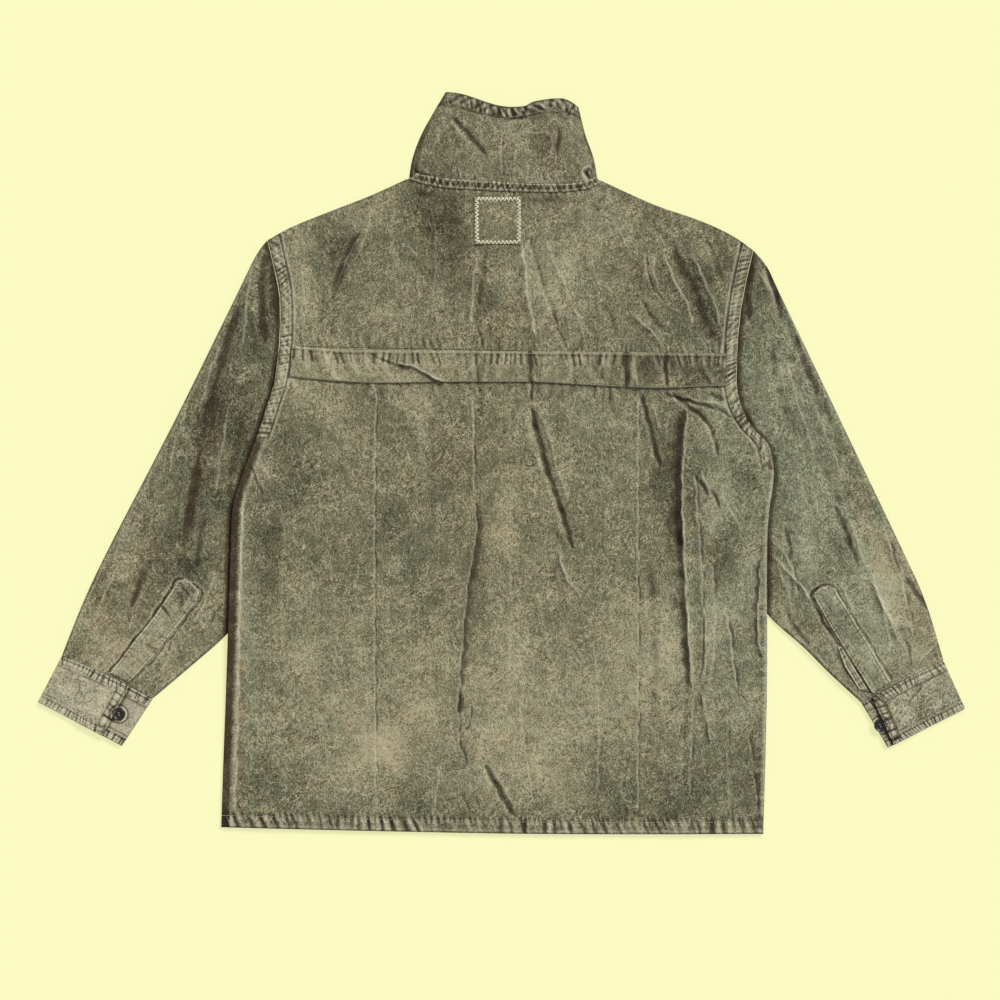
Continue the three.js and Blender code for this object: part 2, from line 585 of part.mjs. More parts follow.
/** Collar: one strip from the centre front round the back to the centre front, pressed flat. */
function collar() {
  const gap = SEAM;
  const backBase = (share) => {
    const x = mix(COLLAR_BASE.left, COLLAR_BASE.right, share);
    const neckShare = THREE.MathUtils.clamp((x + 112) / 228, 0, 1);
    return edge(BACK_NECK, 0, 2 * gap)(neckShare);
  };
  const sides = [edge(COLLAR_LEFT), edge(COLLAR_RIGHT)];
  const fromCorners = (base) => (u) => (u === 0 || u === 1 ? sides[u](0) : base(u));
  const backPatchUp = patchBetween(fromCorners(backBase), edge(COLLAR_TOP), ...sides);
  const frontBase = (u) => frontNeck(u, -gap);
  const frontTop = edge(COLLAR_TOP, 0, -COLLAR_FRONT_DROP);
  const frontPatchUp = patchBetween(fromCorners(frontBase), frontTop, ...sides);
  const backColumns = [0.03, 0.1, 0.19, 0.28, 0.37, 0.46, 0.55, 0.64, 0.73, 0.82, 0.9, 0.97];
  const spans = (from, to) => steps(from, to, Math.abs(to - from)).map((k) => k / NECK_SPANS);
  const halfSlit = 0.006;
  const rows = [0, 0.1, 0.24, 0.38, 0.52, 0.66, 0.8, 0.855, 0.87, 0.985, 1];
  const height = (x, y, v) => {
    const loose = COLLAR_PUFF + 0.3 * swell(2 * x, 2 * y) + foldRise(COLLAR_FOLDS, x, y);
    return COLLAR_HEIGHT + Math.max(0, loose) * smooth(0.02, 0.25, v) * mix(1, 0.4, smooth(0.8, 1, v));
  };
  const section = (v, inner) => {
    const rim = v > 0.86 && v < 0.99 ? COLLAR_RIM_RISE : 0;
    const point = (patch, u, z) => {
      const at = patch(u, v);
      return new THREE.Vector3(at.x, at.y, z === null ? height(at.x, at.y, v) + (inner ? -CLOTH : rim) : z);
    };
    const low = inner ? CLOTH : 0;
    const end = inner ? 0.013 : 0;
    const left = [0.5 - halfSlit, ...spans(4, 0).slice(0, -1)].map((u) => point(frontPatchUp, u, low));
    const across = backColumns.map((u) => point(backPatchUp, u, null));
    const right = [...spans(8, 4).slice(0, -1), 0.5 + halfSlit].map((u) => point(frontPatchUp, u, low));
    return [...left, point(backPatchUp, end, COLLAR_HEIGHT / 2), ...across,
      point(backPatchUp, 1 - end, COLLAR_HEIGHT / 2), ...right];
  };
  const outer = rows.map((v) => section(v, false));
  const inner = rows.map((v) => section(v, true));
  const first = NECK_SPANS / 2;
  const over = outer.map((row) => row.slice(first, first + backColumns.length + 2));
  return { geometry: wall(outer, inner), over };
}

/** Piece laid on other pieces: its outline is a grid, and each point rests on what is under it. */
function laidPiece(plan, surfaces, reach, clear, thick) {
  const under = plan.map((row) => row.map((point) => (
    new THREE.Vector3(point.x, point.y, restOn(surfaces, point.x, point.y, reach) + clear))));
  const over = under.map((row) => row.map((point) => point.clone().setZ(point.z + thick)));
  return { geometry: wall(over, under), over };
}

/** Strip over the neck seam, half on the yoke and half on the collar. */
function neckTape(yoke, collarBack) {
  const lower = edge(TAPE_LOWER);
  const upper = edge(TAPE_UPPER);
  const shares = [0, ...steps(0, 1, 22)];
  const plan = [0, 0.5, 1].map((v) => shares.map((u) => upper(u).clone().lerp(lower(u), v)));
  return laidPiece(plan, [yoke.over, collarBack], 7, 0.3, STRIP_CLOTH);
}

/** Square patch on the yoke, below the neck. */
function neckPatch(yoke) {
  const shares = [0, ...steps(0, 1, PATCH.cells)];
  const plan = shares.map((v) => shares.map((u) => (
    new THREE.Vector2(mix(PATCH.left, PATCH.right, u), mix(PATCH.top, PATCH.bottom, v)))));
  return laidPiece(plan, [yoke.over], 8, 0.3, STRIP_CLOTH);
}

/** Strip on a sleeve, from a table of cross sections. */
function sleeveStrip(table, surface) {
  const stations = table.flatMap((row, i) => {
    if (i === table.length - 1) return [row];
    const next = table[i + 1];
    const half = Object.fromEntries(Object.keys(row).map((key) => [key, (row[key] + next[key]) / 2]));
    const long = Math.hypot(next.leftX - row.leftX, next.leftY - row.leftY) > 15;
    return long ? [row, half] : [row];
  });
  const plan = stations.map((row) => [0, 1 / 3, 2 / 3, 1].map((u) => (
    new THREE.Vector2(mix(row.leftX, row.rightX, u), mix(row.leftY, row.rightY, u)))));
  return laidPiece(plan, [surface], 9, 0.3, STRIP_CLOTH);
}

/** Cuff: a strip wound flat, its end lapped over its start. */
function cuff(side) {
  const table = CUFFS[side];
  const seamOffset = SEAM + 0.2;
  const line = (a, b) => (share) => new THREE.Vector2(mix(a.x, b.x, share), mix(a.y, b.y, share));
  const seam = edge([table.outerTop, SLEEVES[side].cuffSeam[1], table.innerTop], 0, -seamOffset);
  const patch = patchBetween(seam, line(table.outerBottom, table.innerBottom),
    line({ x: table.outerTop.x, y: table.outerTop.y - seamOffset }, table.outerBottom),
    line({ x: table.innerTop.x, y: table.innerTop.y - seamOffset }, table.innerBottom));
  const around = (BUTTON.radius + 2) / CUFF_DEPTH;
  const ramp = around + 4 / CUFF_DEPTH;
  const besideButton = [-ramp, -around, 0, around, ramp].map((away) => table.buttonV + away);
  const rows = [0, 0.13, 0.16, ...besideButton, 0.9, 0.92, 1];
  const lapAt = (v) => mix(table.lapTop, table.lapBottom, v);
  const overLevel = (u, v) => {
    const lap = lapAt(v);
    const onUnderlap = smooth(lap - UNDERLAP - 0.16, lap - UNDERLAP - 0.02, u);
    const nearButton = Math.abs(v - table.buttonV) < around + 0.01 && u > lap - 0.1;
    const rise = nearButton ? BUTTON.thick + 2 * BUTTON_CLEAR : 0;
    return mix(CUFF_LEVELS.middle, CUFF_LEVELS.over, onUnderlap) + rise;
  };
  const section = (v, inner) => {
    const lap = lapAt(v);
    const at = (u, z) => {
      const point = patch(u, v);
      return new THREE.Vector3(point.x, point.y, z);
    };
    const inset = inner ? 0.018 : 0;
    const turned = !inner && (v < 0.14 || v > 0.91) ? CUFF_TURNED_EDGE : 0;
    const fromLap = [0, 0.012, 0.085, 0.115, UNDERLAP, 0.31, 0.42];
    const overColumns = [...fromLap.map((share) => lap - share), 0.16, 0.04];
    const underColumns = [0.04, 0.3, 0.65, 0.96];
    const middleColumns = [0.96, (0.96 + lap) / 2, lap, lap - UNDERLAP + 0.03];
    return [
      ...overColumns.map((u) => at(u, overLevel(u, v) + (inner ? 0 : CUFF_CLOTH + turned))),
      at(inset, CUFF_LEVELS.middle - 0.2),
      ...underColumns.map((u) => at(u, inner ? CUFF_CLOTH : 0)),
      at(1 - inset, CUFF_LEVELS.middle - 0.2),
      ...middleColumns.map((u) => at(u, CUFF_LEVELS.middle + (inner ? 0 : CUFF_CLOTH))),
    ];
  };
  const geometry = wall(rows.map((v) => section(v, false)), rows.map((v) => section(v, true)));
  const lap = patch(lapAt(table.buttonV), table.buttonV);
  const inward = patch(1, table.buttonV).clone().sub(lap).normalize();
  const centre = lap.clone().addScaledVector(inward, BUTTON_FROM_LAP);
  return { geometry, centre };
}

/** Four-hole button with a raised rim, lying on the cuff's under-lap. */
function button(wasm, centre) {
  const { radius, thick, rim, dish, round, hole, holeSpacing, holes, sides } = BUTTON;
  const profile = [
    [0, 0], [radius - round, 0], [radius, round], [radius, thick - 0.5], [radius - 0.5, thick],
    [radius - rim, thick], [radius - rim - round, thick - dish], [0, thick - dish],
  ].map(([r, z]) => new THREE.Vector2(r, z));
  const disc = new THREE.LatheGeometry(profile, sides);
  disc.rotateX(Math.PI / 2);
  let solid = manifoldFrom(wasm, turnedOut(disc));
  for (let i = 0; i < holes; i += 1) {
    const drill = new THREE.CylinderGeometry(hole, hole, 4 * thick, 6);
    drill.rotateX(Math.PI / 2);
    const angle = ((i + 0.5) * 2 * Math.PI) / holes;
    drill.translate(holeSpacing * Math.cos(angle), holeSpacing * Math.sin(angle), 0);
    solid = solid.subtract(manifoldFrom(wasm, drill));
  }
  const geometry = geometryFrom(solid);
  geometry.translate(centre.x, centre.y, CUFF_LEVELS.middle + CUFF_CLOTH + BUTTON_CLEAR);
  return geometry;
}

/** A lathe's geometry with shared vertices, without its flat faces on the axis, turned outwards. */
function turnedOut(geometry) {
  const merged = withSharedVertices(geometry);
  const position = merged.getAttribute('position');
  const pointAt = (_, i) => new THREE.Vector3().fromBufferAttribute(position, i);
  const points = Array.from({ length: position.count }, pointAt);
  const index = merged.getIndex().array;
  const faces = [];
  for (let f = 0; f < index.length; f += 3) {
    const [a, b, c] = index.slice(f, f + 3);
    if (a !== b && b !== c && c !== a) faces.push(a, b, c);
  }
  return solidFrom(points, faces);
}

const wasm = await Module();
wasm.setup();

const garment = new THREE.Group();

/** Add a piece as a named mesh with its own material. */
function addPiece(name, geometry, colour, roughness = 0.95) {
  const material = new THREE.MeshStandardMaterial({ color: colour, roughness, metalness: 0 });
  const mesh = new THREE.Mesh(geometry, material);
  mesh.name = name;
  garment.add(mesh);
}

const yoke = yokeSurface();
const back = backSurface();
const collarPiece = collar();
addPiece('front_panel', frontPanel(wasm), COLOURS.shell);
addPiece('back_panel', wall(back.over, back.under), COLOURS.shell);
addPiece('back_yoke', wall(yoke.over, yoke.under), COLOURS.shell);
addPiece('back_band', backBand(back), COLOURS.band);
addPiece('collar', collarPiece.geometry, COLOURS.collar);
addPiece('neck_tape', neckTape(yoke, collarPiece.over).geometry, COLOURS.strip);
addPiece('neck_patch', neckPatch(yoke).geometry, COLOURS.band);
for (const side of ['left', 'right']) {
  const arm = sleeve(side);
  const wrist = cuff(side);
  addPiece(`sleeve_${side}`, arm.geometry, COLOURS.shell);
  addPiece(`cuff_${side}`, wrist.geometry, COLOURS.cuff);
  addPiece(`placket_${side}`, sleeveStrip(PLACKETS[side], arm.over).geometry, COLOURS.strip);
  if (side === 'right') {
    addPiece('slit_binding_right', sleeveStrip(SLIT_BINDING, arm.over).geometry, COLOURS.strip);
  }
  addPiece(`button_${side}`, button(wasm, wrist.centre), COLOURS.button, 0.35);
}

export default garment;
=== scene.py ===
import logging
import math
from dataclasses import dataclass, field
from enum import Enum
from typing import Any, Callable, Sequence

import bpy
import numpy as np
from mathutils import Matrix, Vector
from mathutils.bvhtree import BVHTree


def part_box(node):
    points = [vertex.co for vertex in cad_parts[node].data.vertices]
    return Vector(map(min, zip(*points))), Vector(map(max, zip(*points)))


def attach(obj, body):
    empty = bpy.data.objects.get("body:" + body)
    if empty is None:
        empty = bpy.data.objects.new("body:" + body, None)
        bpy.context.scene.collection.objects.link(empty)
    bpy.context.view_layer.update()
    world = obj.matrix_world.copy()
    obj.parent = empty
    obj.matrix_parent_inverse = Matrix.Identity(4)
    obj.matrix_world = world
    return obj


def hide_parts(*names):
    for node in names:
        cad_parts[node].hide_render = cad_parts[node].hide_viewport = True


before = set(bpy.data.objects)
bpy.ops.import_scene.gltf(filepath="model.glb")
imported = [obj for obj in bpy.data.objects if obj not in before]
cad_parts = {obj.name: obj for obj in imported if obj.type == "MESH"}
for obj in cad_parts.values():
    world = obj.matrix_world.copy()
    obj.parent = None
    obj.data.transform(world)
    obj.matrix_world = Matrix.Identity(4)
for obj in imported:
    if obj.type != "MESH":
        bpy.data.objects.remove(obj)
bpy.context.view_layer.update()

LOG = logging.getLogger("smock")

Array = np.ndarray
Piece = bpy.types.Object
Material = bpy.types.Material
Tree = bpy.types.NodeTree
Socket = bpy.types.NodeSocket
Table = Sequence[tuple[float, float]]
Curve = Callable[[Array], Array]

MM = 0.001
FINISH = ("tone", "hue", "grime_and_shade", "worn")  # what a relief tells the canvas, besides its height

# Cloth and clearances
CLOTH = 1.2
CUFF_CLOTH = 1.8
STRIP_CLOTH = 1.1
LAID_GAP = 0.5
SEAM = 0.3
ARMHOLE_SEAM = 0.7

# Outline of the body, a point of a smooth edge in each row
LEFT_ARMHOLE = ((-276, 263), (-270, 238), (-262, 200), (-261, 165), (-262, 138))
LEFT_SIDE = (
    (-262, 138), (-267, 98), (-276, 70), (-290, 28), (-306, -15), (-317, -52), (-320, -115),
    (-323, -209), (-328, -339), (-331, -430),
)
RIGHT_ARMHOLE = ((297, 251), (290, 222), (283, 186), (279, 152), (278, 126))
RIGHT_SIDE = (
    (278, 126), (277, 94), (283, 65), (297, 41), (316, 19), (321, -15), (315, -63), (313, -115),
    (313, -280), (309, -438),
)
LEFT_SHOULDER = ((-276, 263), (-248, 278.5), (-205, 296), (-156, 315), (-112, 335))
RIGHT_SHOULDER = ((116, 334), (180, 305), (233, 286.5), (272, 268.5), (297, 251))
BACK_NECK = ((-112, 335), (-78, 331), (0, 325), (60, 324.5), (95, 327), (116, 334))
YOKE_SEAM = ((-262, 138), (-120, 135), (0, 132.5), (150, 128), (278, 126))
HEM = ((-331, -430), (-150, -434.5), (60, -438), (309, -438))
NECK_START, NECK_END = 0.286, 0.684
FRONT_NECK_DROP = 35.0
NECK_SLIT_WIDTH, NECK_SLIT_LENGTH = 2.4, 255.0

# Strip over the yoke seam: its sewn upper edge and its free lower one
BAND_TOP = (
    (-247, 138.5), (-202, 134.5), (-120, 133), (-2, 132), (140, 131), (264, 129.5),
)
BAND_BOTTOM = (
    (-250, 102), (-202, 97), (-143, 94.4), (-67, 95.6), (34, 95.6), (81, 93.2), (140, 90),
    (187, 88.5), (234, 90), (264, 91),
)

# Collar and the strip along the neck seam
COLLAR_TOP = ((-66, 438), (-45, 435), (-4, 422), (25, 421), (40, 427), (72, 430), (91, 420))
COLLAR_LEFT = ((-103, 338), (-100, 366), (-89, 398), (-66, 438))
COLLAR_RIGHT = ((112, 334), (108, 362), (99, 388), (91, 420))
TAPE_LOWER = ((-110, 335), (-87, 328), (-54, 323.5), (45, 319.5), (95, 322), (118, 331))
TAPE_UPPER = ((-101, 342), (-70, 337), (-41, 334.5), (46, 330), (90, 331), (111, 338))
PATCH_LEFT, PATCH_RIGHT, PATCH_TOP, PATCH_BOTTOM = -32.0, 23.0, 314.0, 258.0

# Seams between sleeves and cuffs
LEFT_CUFF_SEAM = ((-519, -227), (-465, -250), (-412, -278))
RIGHT_CUFF_SEAM = ((522, -233), (475, -256), (425, -283))


class Side(Enum):
    """Side of the garment as seen from above."""

    LEFT = "left"
    RIGHT = "right"

    @property
    def sign(self) -> int:
        """Direction of the side along X."""
        return -1 if self is Side.LEFT else 1


def smoothstep(low: float, high: float, value: Array) -> Array:
    """Smooth ramp from 0 at low to 1 at high."""
    share = np.clip((value - low) / (high - low), 0.0, 1.0)
    return share * share * (3.0 - 2.0 * share)


def bell(value: Array, width: float, power: float = 2.0) -> Array:
    """Rounded hump of height 1 and half width `width` about zero."""
    return np.exp(-np.abs(value / width) ** power)


def mix(low: Any, high: Any, share: Any) -> Any:
    """Value that lies a share of the way from low to high."""
    return low + (high - low) * share


def edge(table: Table, dx: float = 0.0, dy: float = 0.0) -> Curve:
    """Smooth edge through the points of a table.

    Args:
        table: points that the edge passes through.
        dx: shift to the right.
        dy: shift upwards in the view.

    Returns:
        Function from shares of the edge's length to its points.
    """
    points = np.array(table, float) + (dx, dy)
    ends = np.vstack([points[:1], points, points[-1:]])
    spans = len(points) - 1
    turn = np.linspace(0, spans, 60 * spans + 1)
    span = np.minimum(turn.astype(int), spans - 1)
    share = (turn - span)[:, None]
    before, start, stop, after = (ends[span + k] for k in range(4))
    leave, arrive = (stop - before) / 2, (after - start) / 2
    line = (2 * start - 2 * stop + leave + arrive) * share**3
    line += (3 * stop - 3 * start - 2 * leave - arrive) * share**2 + leave * share + start
    walked = np.concatenate([[0.0], np.cumsum(np.hypot(*np.diff(line, axis=0).T))])

    def at(shares: Array) -> Array:
        """Points of the edge at some shares of its length."""
        place = np.asarray(shares, float) * walked[-1]
        return np.stack([np.interp(place, walked, line[:, k]) for k in (0, 1)], axis=-1)

    return at


def spaced(table: Table, step: float) -> Array:
    """Points about `step` millimetres apart along the smooth edge through a table."""
    corners = np.array(table, float)
    length = np.hypot(*np.diff(corners, axis=0).T).sum()
    return edge(table)(np.linspace(0, 1, max(3, round(length / step) + 1)))


def joined(edges: Sequence[Curve], breaks: Sequence[float]) -> Curve:
    """One edge made of several.

    Args:
        edges: the edges in their order.
        breaks: share of the whole at which each starts, and 1 at the end.

    Returns:
        The whole edge, as a function of its share.
    """

    def at(shares: Array) -> Array:
        """Points of the whole edge at some shares."""
        shares = np.atleast_1d(np.asarray(shares, float))
        points = np.empty((len(shares), 2))
        for part, curve in enumerate(edges):
            start, stop = breaks[part], breaks[part + 1]
            inside = (shares >= start) if part == 0 else (shares > start)
            inside &= shares <= stop
            points[inside] = curve((shares[inside] - start) / (stop - start))
        return points

    return at


def patch_between(
    first: Curve, last: Curve, start: Curve, end: Curve, us: Array, vs: Array
) -> Array:
    """Four-sided patch between a first and a last row edge and two side edges.

    Args:
        first: edge of the first row.
        last: edge of the last row.
        start: side edge at share 0 across.
        end: side edge at share 1 across.
        us: shares across.
        vs: shares down.

    Returns:
        Points, a row for each v and a column for each u.
    """
    u, v = us[None, :, None], vs[:, None, None]
    ends = np.array([0.0, 1.0])
    (c00, c10), (c01, c11) = first(ends), last(ends)
    points = (1 - v) * first(us)[None] + v * last(us)[None]
    points += (1 - u) * start(vs)[:, None] + u * end(vs)[:, None]
    points -= (1 - u) * (1 - v) * c00 + u * (1 - v) * c10 + (1 - u) * v * c01 + u * v * c11
    return points


def front_neck(shares: Array, up: float) -> Array:
    """Front neckline, below the back one and shifted up by a seam's gap."""
    points = edge(BACK_NECK, 0, up)(shares)
    points[..., 1] -= FRONT_NECK_DROP * np.maximum(0, np.sin(math.pi * np.asarray(shares))) ** 0.8
    return points


def raised(xy: Array, height: Array | float) -> Array:
    """Points of a plan with their heights."""
    return np.concatenate([xy, np.broadcast_to(height, xy.shape[:-1])[..., None]], axis=-1)


def swell(xy: Array) -> Array:
    """Broad unevenness of cloth that lies loose, about 1 either way."""
    x, y = xy[..., 0], xy[..., 1]
    return np.sin(x / 47 + y / 83) * np.cos(y / 61 - x / 120) + 0.6 * np.sin(x / 29 - y / 37 + 1.3)


def crumple(xy: Array, size: float, seed: int) -> Array:
    """Creased unevenness of washed canvas: soft ridges in many directions.

    Args:
        xy: points on the cloth.
        size: usual distance between ridges.
        seed: picks the pattern.

    Returns:
        Height from 0 in the hollows to 1 on the sharpest ridges.
    """
    draw = np.random.default_rng(seed)
    total = np.zeros(xy.shape[:-1])
    ridges = 6
    for turn in draw.uniform(0, math.pi, ridges) + np.arange(ridges) * math.pi / ridges:
        across = xy[..., 0] * math.cos(turn) + xy[..., 1] * math.sin(turn)
        along = xy[..., 1] * math.cos(turn) - xy[..., 0] * math.sin(turn)
        bend = 0.9 * np.sin(along / size * draw.uniform(0.7, 1.4) + draw.uniform(0, 6))
        bend += 0.7 * np.sin(xy[..., 0] / size / 2.3 + draw.uniform(0, 6))
        wave = 1 - np.abs(np.sin(across / size * draw.uniform(0.8, 1.3) + bend + draw.uniform(0, 6)))
        strength = 0.5 + 0.5 * np.sin(along / size / 1.7 + bend + draw.uniform(0, 6))
        total += wave**2 * strength
    return total / ridges * 2


def beside(points: Array, line: Array) -> tuple[Array, Array, float]:
    """Place of points beside a line.

    Args:
        points: the points.
        line: corners of the line, in order.

    Returns:
        Distance from the line, positive on the view's right where it runs down; distance along
        it; and its whole length.
    """
    nearest = np.full(len(points), np.inf)
    away, along = np.zeros(len(points)), np.zeros(len(points))
    walked = 0.0
    for start, stop in zip(line[:-1], line[1:]):
        step = stop - start
        length = math.hypot(*step)
        share = np.clip(((points - start) @ step) / length**2, 0, 1)
        gap = points - start - share[:, None] * step
        distance = np.hypot(gap[:, 0], gap[:, 1])
        closer = distance < nearest
        side = np.where(step[0] * gap[:, 1] - step[1] * gap[:, 0] < 0, -1.0, 1.0)
        nearest = np.where(closer, distance, nearest)
        away = np.where(closer, side * distance, away)
        along = np.where(closer, walked + share * length, along)
        walked += length
    return away, along, walked


def beside_path(xy: Array, path: Table, reach: float) -> tuple[Array, Array, Array, float]:
    """Which points are within reach of a smooth path, with what `beside` says of them."""
    line = spaced(path, 5.0)
    near = ((xy > line.min(0) - reach) & (xy < line.max(0) + reach)).all(-1)
    return near, *beside(xy[near], line)


@dataclass
class Relief:
    """Height and finish that creases, seams and stains give a grid of points.

    height is in millimetres. tone is lighter above zero, hue browner above zero and greener
    below, grime_and_shade is dirt in a fold together with painted shade in folds, gaps and beside
    raised edges, and worn is the pale rub along a ridge together with painted
    highlight on ridges and lit edges.
    """

    height: Array
    tone: Array
    hue: Array
    grime_and_shade: Array
    worn: Array

    @classmethod
    def over(cls, xy: Array, *groups: Sequence["Crease | Puckers | Blotch"]) -> "Relief":
        """Relief over a grid of points, with what is laid on it."""
        relief = cls(*(np.zeros(xy.shape[:-1]) for _ in range(5)))
        for group in groups:
            for item in group:
                item.lay(xy, relief)
        return relief

    def add_finish(self, other: "Relief") -> None:
        """Add another relief's finish, but not its height."""
        for label in FINISH:
            setattr(self, label, getattr(self, label) + getattr(other, label))


@dataclass(frozen=True)
class Crease:
    """Crease laid along a path that runs down the view.

    left and right are its half widths, and rise is its height, negative for a trough. shade is
    the dirt and painted shadow in it: all across where side is 0, and else beside a sharp line, on
    the view's right of it for 1 and on its left for -1. worn is the rub along the
    line, with painted highlight on its lit side, and fade the length over which each end dies out.
    """

    path: Table
    left: float
    right: float
    rise: float
    shade: float = 0.0
    worn: float = 0.0
    side: int = 0
    fade: float = 14.0

    def wander(self, along: Array) -> Array:
        """Small sideways wander of the line, so that no crease is drawn with a ruler."""
        start = 0.37 * self.path[0][0] + 0.73 * self.path[0][1]
        return 0.6 * np.sin(along / 7.5 + start) + 0.45 * np.sin(along / 3.3 + 1.7 * start)

    def lay(self, xy: Array, relief: Relief) -> None:
        """Add the crease to a relief over the points xy."""
        reach = 3 * max(self.left, self.right) + 4
        near, away, along, length = beside_path(xy, self.path, reach)
        away = away + self.wander(along)
        taper = smoothstep(0, self.fade, along) * smoothstep(0, self.fade, length - along)
        width = np.where(away > 0, self.right, self.left) * mix(0.35, 1.0, taper)
        patchy = 0.8 + 0.2 * np.sin(along / 11 + self.path[0][1]) * np.sin(along / 4.7 + self.path[0][0])
        relief.height[near] += self.rise * taper * bell(away, width, 1.7)
        # Painted shade and highlight: the dirt darkens the trough, or one side of a sharp line as if the
        # light came from the other side, and the pale lines along the line and along a trough's rims are rub
        # with painted highlight.
        if self.side:
            beyond = away * self.side
            dirt_and_shade = 1.4 * smoothstep(-0.9, 0.5, beyond) * bell(np.maximum(beyond, 0), 1.25 * width, 1.3)
            rubbed_and_lit_ridge = bell(beyond + 1.3, 1.2)
        else:
            dirt_and_shade = bell(away, 0.72 * width, 4.0)
            rubbed_and_lit_ridge = bell(away, 1.3)
            rubbed_and_lit_rims = bell(np.abs(away) - 1.25 * width - 0.6, 1.2)
            relief.worn[near] += 0.3 * self.shade * patchy * taper * rubbed_and_lit_rims
        relief.grime_and_shade[near] += self.shade * patchy * smoothstep(0, 0.35, taper) * dirt_and_shade
        relief.worn[near] += 1.3 * self.worn * patchy * taper * rubbed_and_lit_ridge


@dataclass(frozen=True)
class Puckers:
    """Irregular gathers that a shrunk seam draws into the cloth beside it.

    reach is how far they go either way from the path, pitch their usual spacing, and slant how
    far a gather leans along the path for each step away from it.
    """

    path: Table
    reach: float
    pitch: float
    depth: float
    seed: int
    shade: float = 0.45
    worn: float = 0.3
    slant: float = 0.25

    def wave(self, length: float) -> tuple[Array, Array]:
        """Places along the seam and the gathers' height there, 1 on a rib and -1 in a groove."""
        draw = np.random.default_rng(self.seed)
        places = np.arange(0, length + 4 * self.pitch, 0.4)
        wave = np.zeros_like(places)
        place = 0.0
        while place < length + 2 * self.pitch:
            place += self.pitch * draw.uniform(0.45, 1.5)
            width = self.pitch * draw.uniform(0.17, 0.3)
            bunched = 0.98 + 0.26 * math.sin(place / (2.6 * self.pitch) + self.seed)
            deep = bunched * draw.uniform(0.35, 1.0)
            wave -= deep * bell(places - place, width)
            wave += 0.8 * deep * bell(places - place - 2.1 * width, width)
        return places, wave

    def lay(self, xy: Array, relief: Relief) -> None:
        """Add the gathers to a relief over the points xy."""
        near, away, along, length = beside_path(xy, self.path, self.reach + 1)
        places, wave = self.wave(length)
        lean = self.slant + 0.25 * np.sin(along / (3.1 * self.pitch) + self.seed)
        value = np.interp(along + lean * away + 2 * self.pitch, places, wave)
        value *= 1 - smoothstep(0.45 * self.reach, self.reach, np.abs(away))
        value *= (along > 0) & (along < length)
        relief.height[near] += self.depth * value
        # Painted shade in the gathers' grooves and painted highlight on their ribs, besides their relief.
        relief.grime_and_shade[near] += self.shade * np.maximum(0, -value)
        relief.worn[near] += self.worn * np.maximum(0, value)


@dataclass(frozen=True)
class Blotch:
    """Soft uneven patch of dye, in a few places painted shadow: its middle, half width and half height, and
    its lean clockwise.
    """

    x: float
    y: float
    wide: float
    tall: float
    turn: float
    tone: float
    hue: float

    def lay(self, xy: Array, relief: Relief) -> None:
        """Add the patch to a relief over the points xy."""
        turn = math.radians(self.turn)
        dx, dy = xy[..., 0] - self.x, xy[..., 1] - self.y
        dx = dx + 4.5 * np.sin(xy[..., 1] / 9 + self.x) + 2.5 * np.sin(xy[..., 0] / 5 + xy[..., 1] / 7)
        dy = dy + 5.5 * np.sin(xy[..., 0] / 8 + self.y) + 3.0 * np.sin(xy[..., 1] / 6 - xy[..., 0] / 11)
        across = (dx * math.cos(turn) - dy * math.sin(turn)) / self.wide
        along = (dx * math.sin(turn) + dy * math.cos(turn)) / self.tall
        share = np.exp(-((across**2 + along**2) ** 1.2))
        relief.tone += self.tone * share
        relief.hue += self.hue * share


def creases(*rows: tuple) -> tuple[Crease, ...]:
    """Creases from rows of path, left, right, rise, shade, worn, side and fade."""
    return tuple(Crease(*row) for row in rows)


def gathers(*rows: tuple) -> tuple[Puckers, ...]:
    """Gathers from rows of path, reach, pitch, depth, seed, shade, worn and slant."""
    return tuple(Puckers(*row) for row in rows)


def blotches(*rows: tuple) -> tuple[Blotch, ...]:
    """Patches of dye, in a few places painted shadow, from rows of x, y, half width, half height, lean, tone
    and hue.
    """
    return tuple(Blotch(*row) for row in rows)


def as_table(points: Array) -> Table:
    """Points as the table of a path."""
    return tuple(map(tuple, points))


def shift_line(table: Table, dx: float, dy: float = 0.0) -> Table:
    """The same path, moved."""
    return tuple((x + dx, y + dy) for x, y in table)


